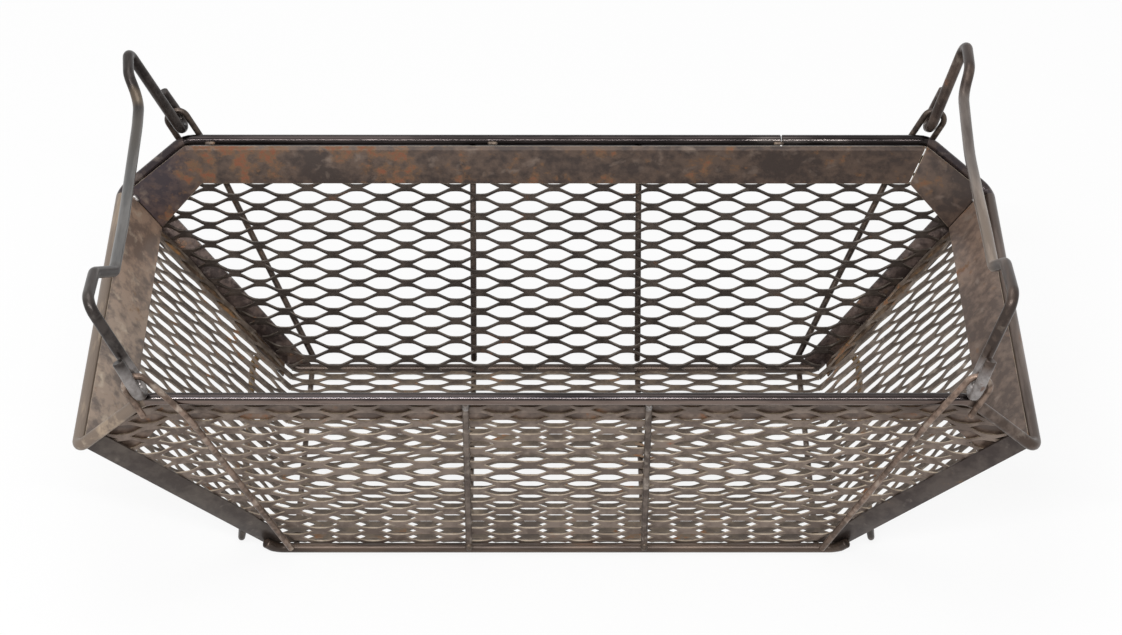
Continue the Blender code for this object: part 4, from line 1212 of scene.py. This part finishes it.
# The strips' cut edges, rubbed by hands, with a painted highlight on the lips' tops: thin pale lines
strip_edge_and_lip_highlight = aged_steel(
    "rubbed_strip_edge_painted_highlight", "#7f7060 #a39482 #c3b7a7 #8d6f52 #94653f", (0.4, 0.38, 0.56, 1.26), patch_mm=16
)
# Hot-rolled angle in its mill scale, oiled: an even dark grey-brown, darker at the right
darker_right = (("#382f2c", "#4d443f", ((X, 0.15, 0.20),)),)
angle_shine = (0.5, 0.34, 0.64, 1.30)
angle_finish = aged_steel(
    "oiled_mill_scale_angle", "#3f3733 #534b45 #6b625b #61503f #7e5434", angle_shine, patch_mm=40,
    wear_and_painted_light=darker_right,
)
# The same scale inside the fold, out of the way of wear: black and glossy
angle_inside = aged_steel(
    "glossy_black_scale_inside", "#3a302d #5f514b #7d716c #5f4a38 #7f4f32", (0.6, 0.24, 0.60, 1.26),
    patch_mm=20,
)
# The leg toward the end, where water has run down: brown with broad ochre stains
angle_end_side = aged_steel(
    "ochre_stained_angle_leg", "#4a3b30 #705c4a #8b7a68 #7b5e3d #8f6136", (0.4, 0.42, 0.60, 1.18),
    patch_mm=20,
)

# Expanded sheet's inside, painted darker as shade: dark and even, hardly rusted
painted_shade_inner_mesh = aged_steel(
    "mesh_inside_painted_shade", "#362e29 #4e443d #675d55 #553f31 #734a33", (0.45, 0.40, 0.66, 1.28),
    patch_mm=40,
)
# Its outside, the same steel painted paler as the lit side: a paler, duller brown
painted_light_outer_mesh = aged_steel(
    "mesh_outside_painted_light", "#5b4e46 #786a60 #94877b #7b5c4a #92593e", (0.35, 0.44, 0.66, 1.34), patch_mm=30
)
# The floor's sheet, where parts drip and rub: an olive brown, dull, with rust between
floor_mesh = aged_steel(
    "brown_mesh_floor", "#43382f #615446 #7f7365 #6f5238 #875632", (0.35, 0.48, 0.64, 1.24), patch_mm=36
)
# The ends' sheet, cleaner than the floor: greyer brown, with a little more shine
end_mesh = aged_steel(
    "dark_brown_mesh_ends", "#4b4139 #70645a #92877c #6b4f36 #87593a", (0.4, 0.44, 0.62, 1.22), patch_mm=30
)
# Sheared edges of the strands, rubbed clean in front and pale as painted highlight: light tan lines round
# each opening
edge_mesh = aged_steel(
    "rubbed_sheared_edge_painted_highlight", "#8a7b6a #ac9d8b #c6baa9 #8a6f55 #946848", (0.35, 0.40, 0.60, 1.32)
)
# Sheared edges of the floor and ends, browned: half as light
end_edge_mesh = aged_steel(
    "browned_sheared_edge", "#5a4f45 #7d7063 #a09486 #75593f #8d6040", (0.4, 0.42, 0.58, 1.26)
)
# Sheared edges of the rear wall, painted darker as shade: hardly lighter than the strands
dark_edge_mesh = aged_steel(
    "sheared_edge_painted_shade", "#453e39 #645b53 #8a8177 #5c4635 #76503a", (0.4, 0.42, 0.60, 1.28)
)

# Weld metal kept bright under its slag: a silvery bead among the browns
weld_finish = aged_steel(
    "bright_weld_bead", "#77706b #a09c9a #cfcdcc #7f6b58 #8a634a", (0.75, 0.30, 0.52, 1.34), patch_mm=6
)
# Weld metal browned over: a dull bead a little lighter than its bar
dull_weld = aged_steel(
    "browned_weld_bead", "#4a3f37 #6b5d50 #8c7f72 #7a5c42 #8a5c3c", (0.5, 0.45, 0.60, 1.20), patch_mm=6
)

side_wall(1, SHEET_PITCH, REAR_WALL_OPENING, STRAND_LEAN, painted_shade_inner_mesh, painted_light_outer_mesh, dark_edge_mesh)
side_wall(-1, FRONT_WALL_PITCH, FRONT_WALL_OPENING, -STRAND_LEAN, painted_shade_inner_mesh, painted_light_outer_mesh, edge_mesh)
floor_finishes = (floor_mesh, floor_mesh, end_edge_mesh, end_mesh, end_edge_mesh)
floor_and_ends(FLOOR_OPENING, STRAND_LEAN, floor_finishes)
rim_ring([rod_finish, tan_rod, brown_rod, wing_rod])
rim_bands(band_finish, left_band_finish, right_band_finish, strip_edge_and_lip_highlight)
for side in (-1, 1):
    base_rail(side, rail_finish)
    foot_loop(side, foot_finish)
    floor_bar(side, MIDDLE_ROD_X, "middle", bar_finish)
    floor_bar(side, OUTER_BAR_X, "outer", bar_finish)
for side_x, side_y in CORNERS:
    corner_plate(side_x, side_y, [angle_finish, angle_finish, angle_inside, angle_end_side])
    wall_rod(side_x, side_y, rear_bar_painted_shade if side_y > 0 else bar_finish)
    eye_rod(side_x, side_y, rear_bar_painted_shade if side_y > 0 else eye_finish)
bail(-1, LEFT_BAIL_LEAN, LEFT_GRIP, left_bail_finish)
bail(1, RIGHT_BAIL_LEAN, RIGHT_GRIP, right_bail_finish)
welds(weld_finish, dull_weld)

floor_and_light()
camera()
bpy.context.scene.view_settings.view_transform = "Standard"
